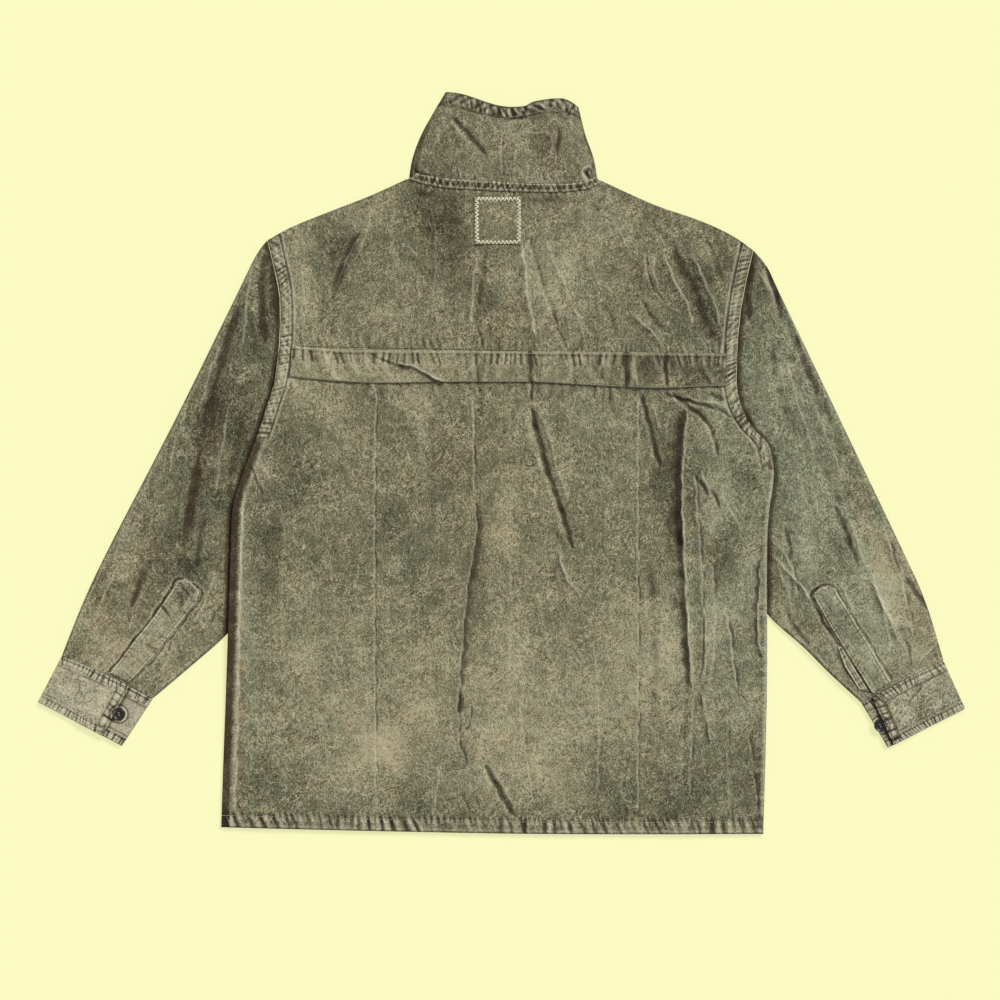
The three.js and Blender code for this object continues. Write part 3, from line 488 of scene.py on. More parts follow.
# Creases of each piece: path, left, right, rise, shade, worn, side, fade
BACK_CREASES = creases(
    (((-146, 93), (-148, 27), (-149, -114), (-148, -280), (-147, -415)), 5, 2, 0.9, 0.55, 0.45, 1),
    (((-143, 93), (-142, 66)), 2.5, 2.5, -1.2, 0.6),
    (((-32, 84), (-32, 15), (-31, -44)), 5, 3, 1.3, 0.5, 0.55, 1),
    (((-25, 91), (-24, 72), (-25, 51)), 5, 5, -0.8, 0.55),
    (((-30, -44), (-29, -85), (-34, -114), (-41, -162), (-47, -232), (-52, -297)),
      3, 6, 1.7, 0.75, 0.45, 1),
    (((-50, -268), (-50, -322), (-45, -343), (-40, -360)), 3, 4, 1.2, 0.5, 0.35, 1),
    (((163, 86), (162, -20), (162, -162), (162, -303), (162, -415)), 4, 2, 0.9, 0.55, 0.5, 1),
    (((35, 100), (36, 84), (37, 67)), 2.5, 2.5, -1.4, 0.8),
    (((33, 74), (40, 46), (47, 18), (54, -6), (62, -32), (70, -51), (76, -74), (82, -92), (89, -110)),
      4.6, 4.6, -3.4, 1.1, 0, 0, 34),
    (((41, 72), (51, 46), (60, 19), (65, -6), (75, -30), (81, -51)), 4, 5, 1.5, 0, 0.4),
    (((25, 67), (31, 41), (40, 11), (47, -15)), 5, 4, 1.2, 0, 0.3),
    (((63, -97), (69, -117), (76, -135), (84, -148), (94, -159)), 3, 3, 1.3, 0.35, 0.55, -1),
    (((68, -91), (70, -105), (74, -116)), 2, 2, 0.8, 0, 0.5),
    (((89, 83), (87, 68), (82, 51), (81, 37)), 2.5, 3, 1, 0.25, 0.45, 1),
    (((88, 85), (95, 77), (102, 67)), 2, 2.5, 0.9, 0.4, 0.4, -1),
    (((129, 85), (127, 74), (130, 63), (139, 51)), 2, 2, -0.8, 0.45),
    (((208, 70), (207, 27), (205, -20), (205, -67), (207, -114), (209, -162), (215, -221), (221, -273)),
      6.5, 5, -3.2, 0.12, 0, 0, 26),
    (((216, 68), (217, 47), (214, 26), (212, -30), (213, -80), (214, -103)),
      10, 5.5, 2.2, 0.8, 0.6, -1, 22),
    (((212, -70), (214, -103), (217, -162), (223, -256), (226, -276)), 5.5, 5, 2.2, 0.62, 0.7, -1, 24),
    (((165, 86), (173, 51), (181, 20), (188, -8)), 3.5, 3.5, -2.3, 0.9),
    (((175, 81), (182, 58), (188, 32)), 3, 4, 1.6, 0, 0.45),
    (((163, 84), (169, 65), (178, 39)), 2, 2, 0.6, 0.2, 0.2, 1),
    (((204, 68), (198, 51), (195, 27), (196, 13)), 3, 3.5, 1.3, 0.3, 0.45, 1),
    (((198, 85), (214, 72), (231, 59), (242, 47), (251, 31), (256, 6)), 3, 3, -2.2, 0.85),
    (((211, 77), (225, 71), (241, 68), (260, 61), (274, 51)), 2.5, 3, -1.8, 0.7),
    (((215, 79), (234, 72), (255, 70), (270, 60)), 2.5, 2.5, 1.3, 0, 0.5),
    (((234, 51), (246, 32), (251, 13)), 3, 3, 1.2, 0, 0.35),
    (((244, 84), (253, 79), (263, 72)), 5, 5, -2, 0.8, 0, 0, 8),
    (((192, 85), (201, 79), (215, 74), (225, 74)), 2.5, 3, -1.2, 0.7, 0, 0, 8),
    (((227, -10), (235, -24), (245, -40)), 2.5, 3, -1.6, 0.85, 0, 0, 10),
    (((233, -8), (241, -22), (251, -40)), 3, 3, 1.4, 0, 0.75, 0, 10),
    (((246, -28), (253, -42), (258, -56)), 2.5, 2.5, -1.4, 0.8, 0, 0, 8),
    (((233, -81), (255, -57), (280, -30)), 1.4, 1.4, -0.5, 0.45, 0.2, 0, 6),
    (((229, -11), (233, -78), (236, -110), (238, -190), (235, -260)), 4.5, 3, 2, 0.5, 0.6, 1),
    (((218, -162), (222, -221), (227, -268)), 3, 3, 0.9, 0, 0.25),
    (((238, -162), (239, -221), (234, -266)), 3, 3, 1.2, 0.45, 0.4, -1),
    (((227, -275), (225, -327), (222, -398)), 4, 5, 1.6, 0.35, 0.35, 1),
    (((235, -267), (241, -303), (247, -336)), 3, 3, 1.2, 0.45, 0.35, -1),
    (((196, -260), (206, -277), (214, -294)), 3, 3, 1.1, 0.4, 0.35, 1),
    (((214, -293), (211, -315), (208, -336)), 3, 3, 1, 0.4, 0.3, 1),
    (((218, -294), (217, -333), (215, -376)), 3.5, 3.5, -1, 0.4),
    (((266, -170), (272, -215), (279, -272)), 4.5, 3, 1.8, 0.6, 0.65, 1),
    (((283, -270), (290, -286), (300, -303)), 3, 3, 1, 0.4, 0.3, 1),
    (((267, -268), (268, -345), (271, -421)), 4, 4, 1.1, 0.35, 0.3, 1),
    (((290, -303), (297, -356), (305, -424)), 4, 4, 1.2, 0.4, 0.3, 1),
    (((-37, -283), (-35, -296), (-38, -307), (-44, -316)), 2.2, 2.2, 1.1, 0.55, 0.3, 1, 6),
    (((-69, -334), (-64, -340), (-55, -342)), 2, 2, -0.9, 0.45, 0, 0, 5),
    (((-68, -352), (-74, -376), (-77, -393), (-76, -417)), 3, 3, 1, 0.25, 0.5, 1),
    (((-51, -385), (-43, -399), (-34, -417)), 2.2, 2.5, -1.1, 0.5),
    (((-31, -393), (-25, -411)), 2.2, 2.5, -1, 0.5, 0, 0, 7),
    (((-22, -353), (-14, -368), (-6, -380), (-1, -393), (6, -404), (19, -419)),
      3, 5.5, -2.6, 0.95, 0, 0, 12),
    (((-15, -355), (-6, -368), (2, -382), (9, -396), (17, -407)), 3, 4, 1.6, 0, 0.45),
    (((-143, -309), (-124, -307), (-109, -308), (-99, -312)), 1.6, 1.6, -0.6, 0.45, 0, 0, 6),
    (((-208, -379), (-206, -393), (-205, -409)), 2.2, 2.5, 0.9, 0.3, 0.3, 1),
    (((-296, -1), (-290, -18), (-279, -40)), 2.2, 2.2, -1.3, 0.65, 0, 0, 7),
    (((-287, 6), (-278, -8), (-271, -25)), 4, 4, 1.3, 0, 0.45, 0, 8),
    (((-292, -8), (-283, -25), (-273, -34)), 3, 3, 0.9, 0, 0.3, 0, 6),
    (((-106, 86), (-96, 27), (-91, -44)), 9, 9, 0.8, 0, 0.24),
    (((-73, 84), (-82, 15), (-84, -67)), 8, 8, -0.7, 0.24),
    (((4, -67), (12, -162), (8, -268)), 10, 10, 0.8, 0, 0.24),
    (((45, -162), (55, -232), (50, -327)), 8, 8, 0.7, 0, 0.24),
    (((116, 27), (123, -67), (116, -162)), 10, 10, 0.8, 0, 0.2),
    (((-202, -114), (-195, -209), (-202, -303)), 10, 10, 0.7, 0, 0.2),
    (((-255, -67), (-259, -162), (-254, -268)), 9, 9, 0.8, 0, 0.24),
    (((22, -280), (31, -350), (41, -412)), 5, 5, 0.9, 0.4, 0.4, 1),
    (((110, -209), (116, -303), (114, -398)), 6, 6, 0.8, 0.3, 0.3, 1),
    (((175, -114), (181, -209), (178, -315)), 6, 7, -0.9, 0.5),
    (((248, -114), (253, -185), (248, -256)), 5, 6, 0.9, 0.4, 0.4, 1),
    (((305, -112), (303, -150), (301, -200), (308, -232)), 3.5, 2.5, 1.6, 0.85, 0.5, -1, 12),
    (((252, -28), (268, -52), (284, -82)), 8, 8, 1.2, 0, 0.5),
    (((196, -60), (199, -120), (204, -180)), 6, 6, -0.8, 0.35),
    (((-303, -8), (-307, -114), (-311, -280), (-315, -415)), 5, 5, 0.9, 0, 0.62),
)
YOKE_CREASES = creases(
    (((-163, 276), (-180, 249), (-199, 204)), 6, 3, -1.8, 0.4, 0.4, -1),
    (((-114, 263), (-102, 250), (-91, 236)), 2.5, 2.5, 1.3, 0.4, 0.6, 1),
    (((-171, 269), (-186, 230), (-202, 190)), 6, 6, -1.3, 0.48),
    (((-153, 304), (-160, 269), (-172, 237)), 5, 5, 1, 0, 0.42),
    (((-238, 237), (-232, 192), (-234, 148)), 5, 5, 0.9, 0, 0.42),
    (((-221, 242), (-212, 192), (-217, 139)), 6, 6, -0.7, 0.24),
    (((-126, 316), (-129, 263), (-122, 192)), 8, 8, 0.8, 0, 0.26),
    (((-18, 254), (-24, 211), (-28, 169), (-22, 136)), 4, 3.5, -1.4, 0.45),
    (((-28, 251), (-34, 204), (-36, 157)), 4, 4, 0.9, 0, 0.51),
    (((23, 263), (28, 230), (31, 198), (42, 143)), 5, 5, 1.5, 0, 0.75),
    (((34, 266), (44, 228), (57, 190), (77, 133)), 3.2, 3.2, -1.3, 0.42, 0, 0, 16),
    (((51, 263), (69, 222), (87, 178), (102, 138)), 5, 5, 1, 0, 0.42),
    (((174, 251), (171, 237), (178, 211), (185, 199), (194, 189)), 1.8, 1.8, -0.9, 0.7, 0, 0, 6),
    (((180, 249), (179, 228), (187, 206)), 2.5, 3, 0.9, 0, 0.59, 0, 8),
    (((201, 256), (217, 223), (231, 197), (241, 166), (259, 137)), 7, 6, -2.2, 0.56),
    (((189, 251), (204, 216), (220, 185), (227, 157)), 5, 5, 1.4, 0, 0.59),
    (((222, 251), (239, 216), (252, 186), (260, 157)), 4, 5, 1.3, 0, 0.51),
    (((147, 183), (163, 166), (178, 152), (192, 137)), 5, 5, 1.7, 0.32, 0.4, -1),
    (((116, 192), (130, 169), (137, 139)), 5, 5, -1.1, 0.48),
    (((163, 197), (178, 173), (201, 148)), 4, 4, -1.3, 0.56),
    (((116, 304), (140, 273), (156, 237)), 7, 7, 0.9, 0, 0.34),
    (((163, 301), (187, 273), (206, 251)), 6, 6, -0.9, 0.32),
    (((87, 304), (93, 263), (102, 216)), 7, 7, -0.7, 0.24),
    (((-84, 310), (-77, 251), (-82, 169)), 9, 9, 0.8, 0, 0.2),
    (((-55, 299), (-58, 228), (-54, 145)), 6, 6, -0.7, 0.24),
    (((240, 269), (253, 237), (263, 204)), 4, 4, -1, 0.48),
)
LEFT_SLEEVE_CREASES = creases(
    (((-309, 186), (-332, 121), (-356, 39), (-365, -32), (-371, -79)), 8, 7, -1.6, 0.42),
    (((-424, -103), (-430, -144), (-436, -173)), 6, 6, -1.4, 0.5),
    (((-444, -138), (-455, -160), (-466, -179)), 5, 5, -1.2, 0.4),
    (((-279, 249), (-283, 216), (-283, 178), (-278, 139)), 6, 6, -1.6, 0.7),
    (((-294, 237), (-300, 192), (-306, 133)), 6, 6, 1, 0, 0.42),
    (((-311, 181), (-325, 131), (-340, 74), (-350, 27)), 7, 7, -1.4, 0.42),
    (((-350, 27), (-359, -20), (-370, -67), (-377, -105)), 8, 8, -1.2, 0.38),
    (((-330, 145), (-344, 107), (-356, 63)), 6, 6, 1.1, 0, 0.42),
    (((-368, 74), (-384, 27), (-394, -20)), 7, 7, 0.9, 0, 0.34),
    (((-320, 74), (-330, 15), (-339, -44)), 7, 8, 1, 0, 0.34),
    (((-309, 39), (-318, -8), (-323, -44)), 5, 5, -1.2, 0.48),
    (((-412, -109), (-429, -152), (-445, -197)), 5, 5, -1.1, 0.48),
    (((-427, -148), (-435, -176), (-441, -204)), 3, 3, 0.9, 0, 0.42),
    (((-450, -114), (-469, -157), (-483, -197)), 5, 6, 0.9, 0, 0.42),
    (((-346, -58), (-356, -91), (-360, -129)), 5, 5, -1, 0.48),
    (((-335, -126), (-349, -162), (-368, -195)), 4, 5, 1.1, 0, 0.51),
    (((-327, -162), (-344, -188), (-360, -209)), 3, 3, -0.9, 0.48),
    (((-403, 4), (-415, -44), (-424, -91)), 5, 5, -0.8, 0.32),
    (((-436, -58), (-450, -91), (-460, -122)), 4, 4, 0.8, 0, 0.34),
    (((-483, -209), (-474, -223), (-469, -237)), 3, 3, -0.8, 0.4, 0, 0, 6),
    (((-384, -209), (-394, -232), (-405, -251)), 3, 4, 1, 0, 0.51),
)
RIGHT_SLEEVE_CREASES = creases(
    (((437, -135), (452, -180), (460, -224)), 4, 4, 1.2, 0, 0.75),
    (((517, -212), (503, -226), (489, -242)), 5, 4, 1.6, 0.35, 0.75, 1),
    (((395, -135), (408, -158), (418, -181)), 3, 3, 1, 0, 0.6),
    (((311, 234), (334, 180), (364, 104), (393, 39)), 6, 6, -1.5, 0.5),
    (((301, 231), (310, 215), (319, 198)), 3, 3, 1.4, 0, 0.8),
    (((399, -55), (411, -91), (423, -126)), 3, 3.5, -1.8, 0.75),
    (((404, -50), (418, -88), (429, -122)), 4, 4, 1.2, 0, 0.5),
    (((376, -2), (390, -30), (402, -55)), 5, 5, -1.2, 0.45),
    (((311, -103), (346, -138), (372, -173)), 2.5, 2.5, 1.2, 0.3, 0.8, -1),
    (((317, -79), (340, -114), (352, -162)), 3, 3, 1.2, 0.35, 0.7, 1),
    (((452, -79), (464, -114), (476, -150), (488, -209)), 4, 5, 1.4, 0.4, 0.6, 1),
    (((435, -138), (452, -176), (470, -215)), 5, 5, 1.2, 0.35, 0.5, -1),
    (((346, -8), (356, -32), (364, -55)), 6, 6, 1, 0, 0.4),
    (((296, 240), (293, 204), (292, 166)), 5, 5, -1.6, 0.7),
    (((306, 234), (316, 209), (325, 184)), 3.5, 4, 1.6, 0, 0.4),
    (((312, 237), (326, 192), (333, 160)), 4, 4, -1.2, 0.7),
    (((333, 192), (348, 157), (362, 119)), 5, 5, 1, 0, 0.42),
    (((317, 145), (329, 86), (348, 27)), 6, 6, -1, 0.48),
    (((336, 122), (352, 63), (371, 9)), 6, 6, 1, 0, 0.42),
    (((366, 74), (385, 27), (407, -27)), 6, 6, 0.9, 0, 0.34),
    (((392, -46), (402, -74), (411, -104)), 4, 4, -1.2, 0.64),
    (((407, -67), (414, -96), (421, -123)), 3.5, 4, 1.2, 0, 0.4),
    (((314, -85), (324, -96), (335, -107)), 2.5, 3, 1.2, 0, 0.5, 0, 7),
    (((333, -71), (340, -96), (346, -122)), 3.5, 4, -1.1, 0.56),
    (((324, -114), (336, -148), (343, -176)), 4, 4, 1.1, 0, 0.51),
    (((475, -130), (489, -152), (504, -175)), 4, 4, -1.2, 0.64),
    (((447, -67), (463, -105), (477, -138)), 5, 5, 0.9, 0, 0.42),
    (((430, -114), (449, -162), (466, -199)), 5, 5, 0.9, 0, 0.34),
    (((466, -185), (480, -216), (484, -242)), 3.5, 3.5, -0.9, 0.48),
    (((352, -8), (366, -55), (373, -103)), 6, 6, -0.9, 0.4),
    (((329, -162), (348, -195), (369, -223)), 4, 4, -1, 0.48),
    (((340, -204), (366, -232), (390, -256)), 3, 3, 1, 0, 0.51),
    (((383, -209), (402, -237), (421, -266)), 3, 3, -0.8, 0.48),
)
COLLAR_CREASES = creases(
    (((-61, 412), (-45, 395), (-30, 379), (-15, 361)), 4.5, 3, -2, 0.85),
    (((-64, 407), (-51, 391), (-37, 374)), 2.5, 3, 1.3, 0, 0.4),
    (((1, 400), (1, 369), (1, 334)), 4.5, 3, 1.5, 0.3, 0.5, 1),
    (((12, 398), (25, 393), (41, 391), (60, 392)), 2.5, 2.5, 1.3, 0.35, 0.55, 1),
    (((67, 401), (67, 381), (66, 359)), 2.5, 4, -1.8, 0.75),
    (((60, 398), (60, 379), (58, 360)), 2.5, 3, 1.3, 0, 0.4),
    (((22, 384), (36, 374), (53, 365)), 6, 6, -0.9, 0.45),
    (((62, 414), (71, 407), (80, 398)), 4, 4, -1.2, 0.5, 0, 0, 7),
    (((76, 409), (83, 398), (88, 381)), 2.5, 3, 1.1, 0, 0.35),
    (((-101, 346), (-90, 340), (-80, 335)), 3.5, 3.5, -1.4, 0.7, 0, 0, 6),
    (((102, 348), (107, 346), (110, 339)), 2.2, 2.2, 1.5, 0, 0.6, 0, 4),
    (((96, 347), (101, 341), (107, 332)), 2.5, 2.5, -1.6, 0.8, 0, 0, 5),
    (((-73, 402), (-77, 381), (-87, 358)), 4, 4, 0.9, 0, 0.25),
    (((-44, 369), (-49, 353), (-58, 339)), 4, 4, -0.8, 0.25),
    (((-21, 400), (-25, 376), (-28, 346)), 4, 4, 0.8, 0, 0.25),
    (((27, 358), (31, 346), (29, 333)), 3.5, 3.5, 0.9, 0, 0.25),
    (((83, 381), (88, 365), (97, 350)), 3, 3, -1, 0.35),
    (((43, 369), (45, 350), (42, 334)), 3.5, 3.5, -0.8, 0.25),
)
# Patches of dye of each piece, in a few places painted shadow: x, y, half width, half height, lean, tone,
# hue
BODY_BLOTCHES = blotches(
    (-238, 204, 17, 83, 0, 0.2, 0.1), (-193, 251, 20, 38, 0, -0.2, -0.2), (-90, 296, 17, 26, 0, -0.26, 0),
    (-61, 273, 21, 54, 0, -0.3, 0.1), (-23, 204, 14, 47, 0, -0.18, 0.2), (55, 222, 35, 38, 0, 0.2, 0),
    (102, 269, 35, 33, 0, 0.14, 0), (163, 204, 28, 28, 0, -0.08, 0.1), (193, 225, 18, 38, -10, -0.12, 0.1),
    (231, 206, 17, 59, -15, -0.26, 0), (260, 237, 14, 31, -10, -0.28, 0), (22, 171, 47, 31, 0, -0.06, 0.4),
    (-132, 171, 33, 28, 0, 0.1, 0), (-167, 293, 26, 19, 30, 0.14, 0.1), (128, 296, 31, 14, -20, 0.1, 0),
    (-238, 100, 21, 35, 0, 0.2, 0.1), (-200, 77, 28, 35, 0, 0.14, 0.1), (-175, 30, 17, 14, 0, 0.14, 0.2),
    (-99, 63, 19, 31, 0, 0.16, 0), (-234, -25, 25, 28, 20, -0.24, -0.5), (-257, 25, 15, 19, 0, -0.22, -0.5),
    (-271, -91, 13, 42, 0, -0.18, -0.1), (-129, -73, 15, 26, 0, -0.2, -0.5),
    (-103, -117, 15, 28, 0, -0.18, -0.5), (-91, -169, 14, 31, 0, -0.14, -0.2),
    (-55, 13, 40, 38, 0, -0.07, 0.3), (-4, -79, 31, 54, 10, 0.18, 0.3), (-25, -162, 14, 35, 0, -0.12, 0.1),
    (12, -227, 21, 57, 0, 0.18, 0.2), (69, 53, 35, 31, 0, 0.1, 0), (81, -93, 18, 19, 0, -0.14, -0.4),
    (120, 58, 31, 28, 0, 0.12, 0), (187, -20, 15, 42, 0, -0.14, 0), (225, 72, 14, 38, 0, -0.1, 0.1),
    (225, -32, 12, 42, 0, -0.1, 0.1), (260, -30, 17, 42, 0, 0.12, 0.1), (258, -117, 17, 33, 0, -0.16, 0.2),
    (291, -18, 14, 33, 0, -0.1, -0.1), (293, -117, 13, 45, 0, 0.14, 0.1), (166, -209, 52, 47, 0, 0.18, 0.1),
    (192, -232, 21, 35, 0, 0.12, 0.1), (116, -282, 66, 42, 0, 0.12, 0), (258, -185, 18, 31, 0, 0.16, 0),
    (-307, -197, 12, 71, 0, 0.2, 0.1), (-238, -227, 40, 33, 0, 0.12, 0.1),
    (-137, -336, 28, 24, 0, 0.36, 0.7), (-167, -299, 24, 33, 0, 0.14, 0.3),
    (-91, -299, 21, 33, 0, 0.18, 0.5), (-276, -381, 26, 26, 0, -0.26, -0.4),
    (-238, -393, 21, 21, 0, -0.22, -0.3), (-309, -388, 14, 26, 0, -0.1, 0),
    (-172, -365, 26, 21, 0, 0.14, 0.2), (-101, -400, 18, 14, 0, -0.22, -0.5),
    (-63, -398, 14, 19, 0, -0.12, -0.1), (8, -329, 54, 54, 0, 0.17, 0.2), (55, -369, 28, 28, 0, 0.14, 0.2),
    (130, -393, 31, 26, 0, -0.18, -0.3), (211, -393, 57, 35, 0, -0.28, -0.3),
    (260, -348, 31, 33, 0, -0.16, -0.1), (296, -365, 14, 59, 0, -0.18, 0.1),
    (-77, -235, 26, 24, 0, 0.08, 0.2), (-191, -131, 31, 19, 0, -0.08, -0.1),
    (-148, -166, 14, 17, 0, 0.08, 0.1), (-47, -114, 17, 21, 0, -0.08, 0.2),
    (40, -162, 26, 26, 0, 0.05, 0.1), (130, -114, 28, 28, 0, -0.06, -0.2),
    (-183, -20, 24, 17, 0, 0.05, 0.2), (-283, -6, 12, 12, 0, 0.18, 0.4), (-37, -44, 17, 12, 0, 0.1, 0.5),
    (137, -8, 24, 26, 0, 0.04, -0.1), (234, 27, 12, 21, 0, 0.1, 0),
)
# Its first row is painted shadow, where the body's edge stands over the sleeve at the armhole.
LEFT_SLEEVE_BLOTCHES = blotches(
    (-273, 204, 12, 59, 10, -0.3, -0.3), (-299, 157, 26, 42, 15, -0.12, -0.3),
    (-342, 53, 24, 35, 20, -0.26, -0.4), (-305, 25, 13, 40, 10, -0.36, -0.3),
    (-368, 15, 21, 42, 20, -0.1, -0.2), (-377, -72, 21, 47, 20, -0.22, -0.3),
    (-339, -30, 17, 33, 15, -0.16, -0.5), (-296, 114, 9, 8, 0, 0.3, 0.2), (-307, 103, 7, 6, 0, 0.2, 0.2),
    (-362, -123, 14, 14, 0, -0.26, -0.5), (-350, -162, 17, 24, 20, 0.06, 0.1),
    (-474, -199, 26, 28, 30, 0.2, 0.1), (-415, -221, 33, 26, 30, 0.26, 0.2),
    (-443, -114, 17, 24, 25, 0.08, 0.1), (-320, -67, 9, 31, 10, -0.14, -0.2),
    (-391, -173, 17, 19, 30, 0.12, 0.1), (-460, -228, 31, 14, -25, 0.16, 0.3),
    (-327, 192, 12, 28, 20, 0.04, 0.1), (-356, 107, 14, 24, 20, 0.06, 0.1),
    (-403, -20, 14, 26, 25, 0.06, 0.1), (-358, -204, 19, 14, 30, 0.12, 0.2),
)
# Its first row is painted shadow, where the body's edge stands over the sleeve at the armhole.
RIGHT_SLEEVE_BLOTCHES = blotches(
    (303, 210, 8, 42, -5, -0.16, 0), (331, 88, 21, 35, -15, 0.2, 0.1), (307, 148, 12, 31, -5, 0.04, 0),
    (366, -44, 17, 54, -15, 0.17, 0), (364, -117, 14, 26, -15, 0.12, 0.1),
    (331, -8, 12, 40, -5, -0.1, -0.2), (399, -86, 12, 21, -15, -0.12, -0.2),
    (435, -91, 19, 33, -20, 0.24, 0.1), (462, -152, 28, 45, -20, 0.34, 0.1),
    (402, -162, 14, 28, -20, 0.02, 0), (336, -183, 17, 33, -20, 0.24, 0.2),
    (407, -221, 17, 24, -20, 0.16, 0.1), (447, -227, 19, 21, -20, 0.22, 0.1),
    (491, -223, 24, 24, -20, 0.34, 0.1), (352, 157, 14, 31, -20, 0.06, 0.1),
    (383, 27, 14, 28, -20, 0.04, 0.1), (395, -20, 12, 21, -20, 0.1, 0.1),
    (470, -195, 12, 14, 0, -0.1, -0.2), (345, -133, 7, 24, -10, -0.12, -0.1),
    (376, -247, 24, 17, -35, 0.24, 0.2),
)
COLLAR_BLOTCHES = blotches(
    (-64, 369, 19, 31, 20, -0.14, 0), (-28, 369, 17, 26, 0, 0.05, 0), (10, 348, 17, 15, 0, -0.1, 0.2),
    (51, 379, 19, 19, 0, -0.22, 0.6), (90, 358, 14, 19, 0, 0.1, 0), (86, 398, 9, 17, 0, 0.16, 0),
    (12, 388, 12, 12, 0, 0.1, 0.1), (34, 343, 21, 9, 0, 0.08, 0), (-82, 343, 14, 8, 0, -0.14, 0.2),
    (-37, 343, 17, 9, 0, 0.06, 0), (0, 375, 90, 50, 0, 0.06, -0.1),
)


def windowed(heights: Array, cells: int, taken: Callable[..., Array]) -> Array:
    """What np.min or np.mean makes of the heights within some cells of each point of a grid."""
    for axis in (0, 1):
        width = [(cells, cells) if k == axis else (0, 0) for k in (0, 1)]
        grown = np.pad(heights, width, mode="edge")
        windows = np.lib.stride_tricks.sliding_window_view(grown, 2 * cells + 1, axis=axis)
        heights = taken(windows, axis=-1)
    return heights


@dataclass
class ClothMesh:
    """Shell of cloth: a fine grid for its face side over a coarser one, and the rim between.

    over is the face side, in millimetres. floor is the other side, with a row and a column for
    every `step` of the face side's; with open_ends it is joined at the two sides alone, so the
    shell is a tube, and it may have any number of columns.
    """

    name: str
    over: Array
    floor: Array
    relief: Relief
    step: int = 1
    open_ends: bool = False

    def rim(self) -> list[list[int]]:
        """Faces that close the shell's edges, each over one step of the floor."""
        low_rows, low_cols = self.floor.shape[:2]
        over = numbered(self.over)
        low = numbered(self.floor, over.size)
        faces = []
        for r in range(low_rows - 1):
            fine = slice(r * self.step, (r + 1) * self.step + 1)
            faces.append([*over[fine, 0][::-1], low[r, 0], low[r + 1, 0]])
            faces.append([*over[fine, -1], low[r + 1, -1], low[r, -1]])
        for c in range(0 if self.open_ends else low_cols - 1):
            fine = slice(c * self.step, (c + 1) * self.step + 1)
            faces.append([*over[0, fine], low[0, c + 1], low[0, c]])
            faces.append([*over[-1, fine][::-1], low[-1, c], low[-1, c + 1]])
        return [[int(k) for k in face] for face in faces]

    def build(self) -> Piece:
        """Make the mesh object, with the relief's finish as attributes of its points."""
        count = self.over.shape[0] * self.over.shape[1]
        points = np.concatenate([self.over.reshape(-1, 3), self.floor.reshape(-1, 3)]) * MM
        faces = grid_faces(numbered(self.over)).tolist()
        faces += grid_faces(numbered(self.floor, count))[:, ::-1].tolist()
        faces += self.rim()
        mesh = bpy.data.meshes.new(self.name)
        mesh.from_pydata(points.tolist(), [], faces)
        first = mesh.polygons[len(faces) // 4]
        if first.normal.z < 0:
            mesh.flip_normals()
        mesh.shade_smooth()
        for label in FINISH:
            values = np.zeros(len(points), np.float32)
            values[:count] = getattr(self.relief, label).ravel()
            mesh.attributes.new(label, "FLOAT", "POINT").data.foreach_set("value", values)
        return placed(self.name, mesh)


def placed(name: str, mesh: bpy.types.Mesh) -> Piece:
    """Object at the origin for a mesh, linked to the scene."""
    piece = bpy.data.objects.new(name, mesh)
    bpy.context.collection.objects.link(piece)
    return piece


def numbered(grid: Array, first: int = 0) -> Array:
    """Numbers of a grid's points in a mesh, counted from the first."""
    return first + np.arange(grid.shape[0] * grid.shape[1]).reshape(grid.shape[:2])


def grid_faces(index: Array) -> Array:
    """Four-sided faces of a grid of point numbers, facing up where its rows run down the view."""
    corners = (index[:-1, :-1], index[1:, :-1], index[1:, 1:], index[:-1, 1:])
    return np.stack(corners, axis=-1).reshape(-1, 4)


def floor_under(over: Array, step: int, thickness: float, least: Array | float) -> Array:
    """Other side of a shell, clear below all of its face side.

    Args:
        over: the face side.
        step: how many of its cells go to one of the floor's.
        thickness: of the cloth.
        least: the lowest that the floor may lie at each point of the face side.

    Returns:
        The floor's points.
    """
    heights = windowed(over[..., 2], step, np.min) - thickness
    floor = over.copy()
    floor[..., 2] = np.maximum(heights, least)
    return floor[::step, ::step]


def strip_floor(over: Array, base: Array) -> Array:
    """Other side of a narrow strip, close above the ground that it lies on."""
    floor = over[::4, ::4].copy()
    floor[..., 2] = np.minimum(floor[..., 2] - STRIP_CLOTH, base[::4, ::4] + 0.2)
    return floor


class Ground:
    """What is already laid, for a piece that goes on top."""

    def __init__(self, *grids: Array) -> None:
        """Take the face sides of the pieces below, in millimetres."""
        points, faces, count = [], [], 0
        for grid in grids:
            points.append(grid.reshape(-1, 3))
            index = numbered(grid, count)
            faces.append(grid_faces(index))
            count += index.size
        self.tree = BVHTree.FromPolygons(np.concatenate(points).tolist(), np.concatenate(faces).tolist())

    def height(self, xy: Array) -> Array:
        """Height of the ground below each point, or the lowest one found where there is none."""
        flat = xy.reshape(-1, 2)
        down = Vector((0, 0, -1))
        found = [self.tree.ray_cast(Vector((x, y, 100)), down)[0] for x, y in flat]
        heights = np.array([math.nan if hit is None else hit.z for hit in found])
        heights[np.isnan(heights)] = np.nanmin(heights)
        return heights.reshape(xy.shape[:-1])

    def rest(self, plan: Array, cells: int, clear: float) -> Array:
        """Smooth underside of a piece that rests on the ground, clear above its bumps."""
        highest = -windowed(-self.height(plan), cells, np.min)
        once = windowed(highest, cells // 2, np.mean)
        return windowed(once, cells - cells // 2, np.mean) + clear


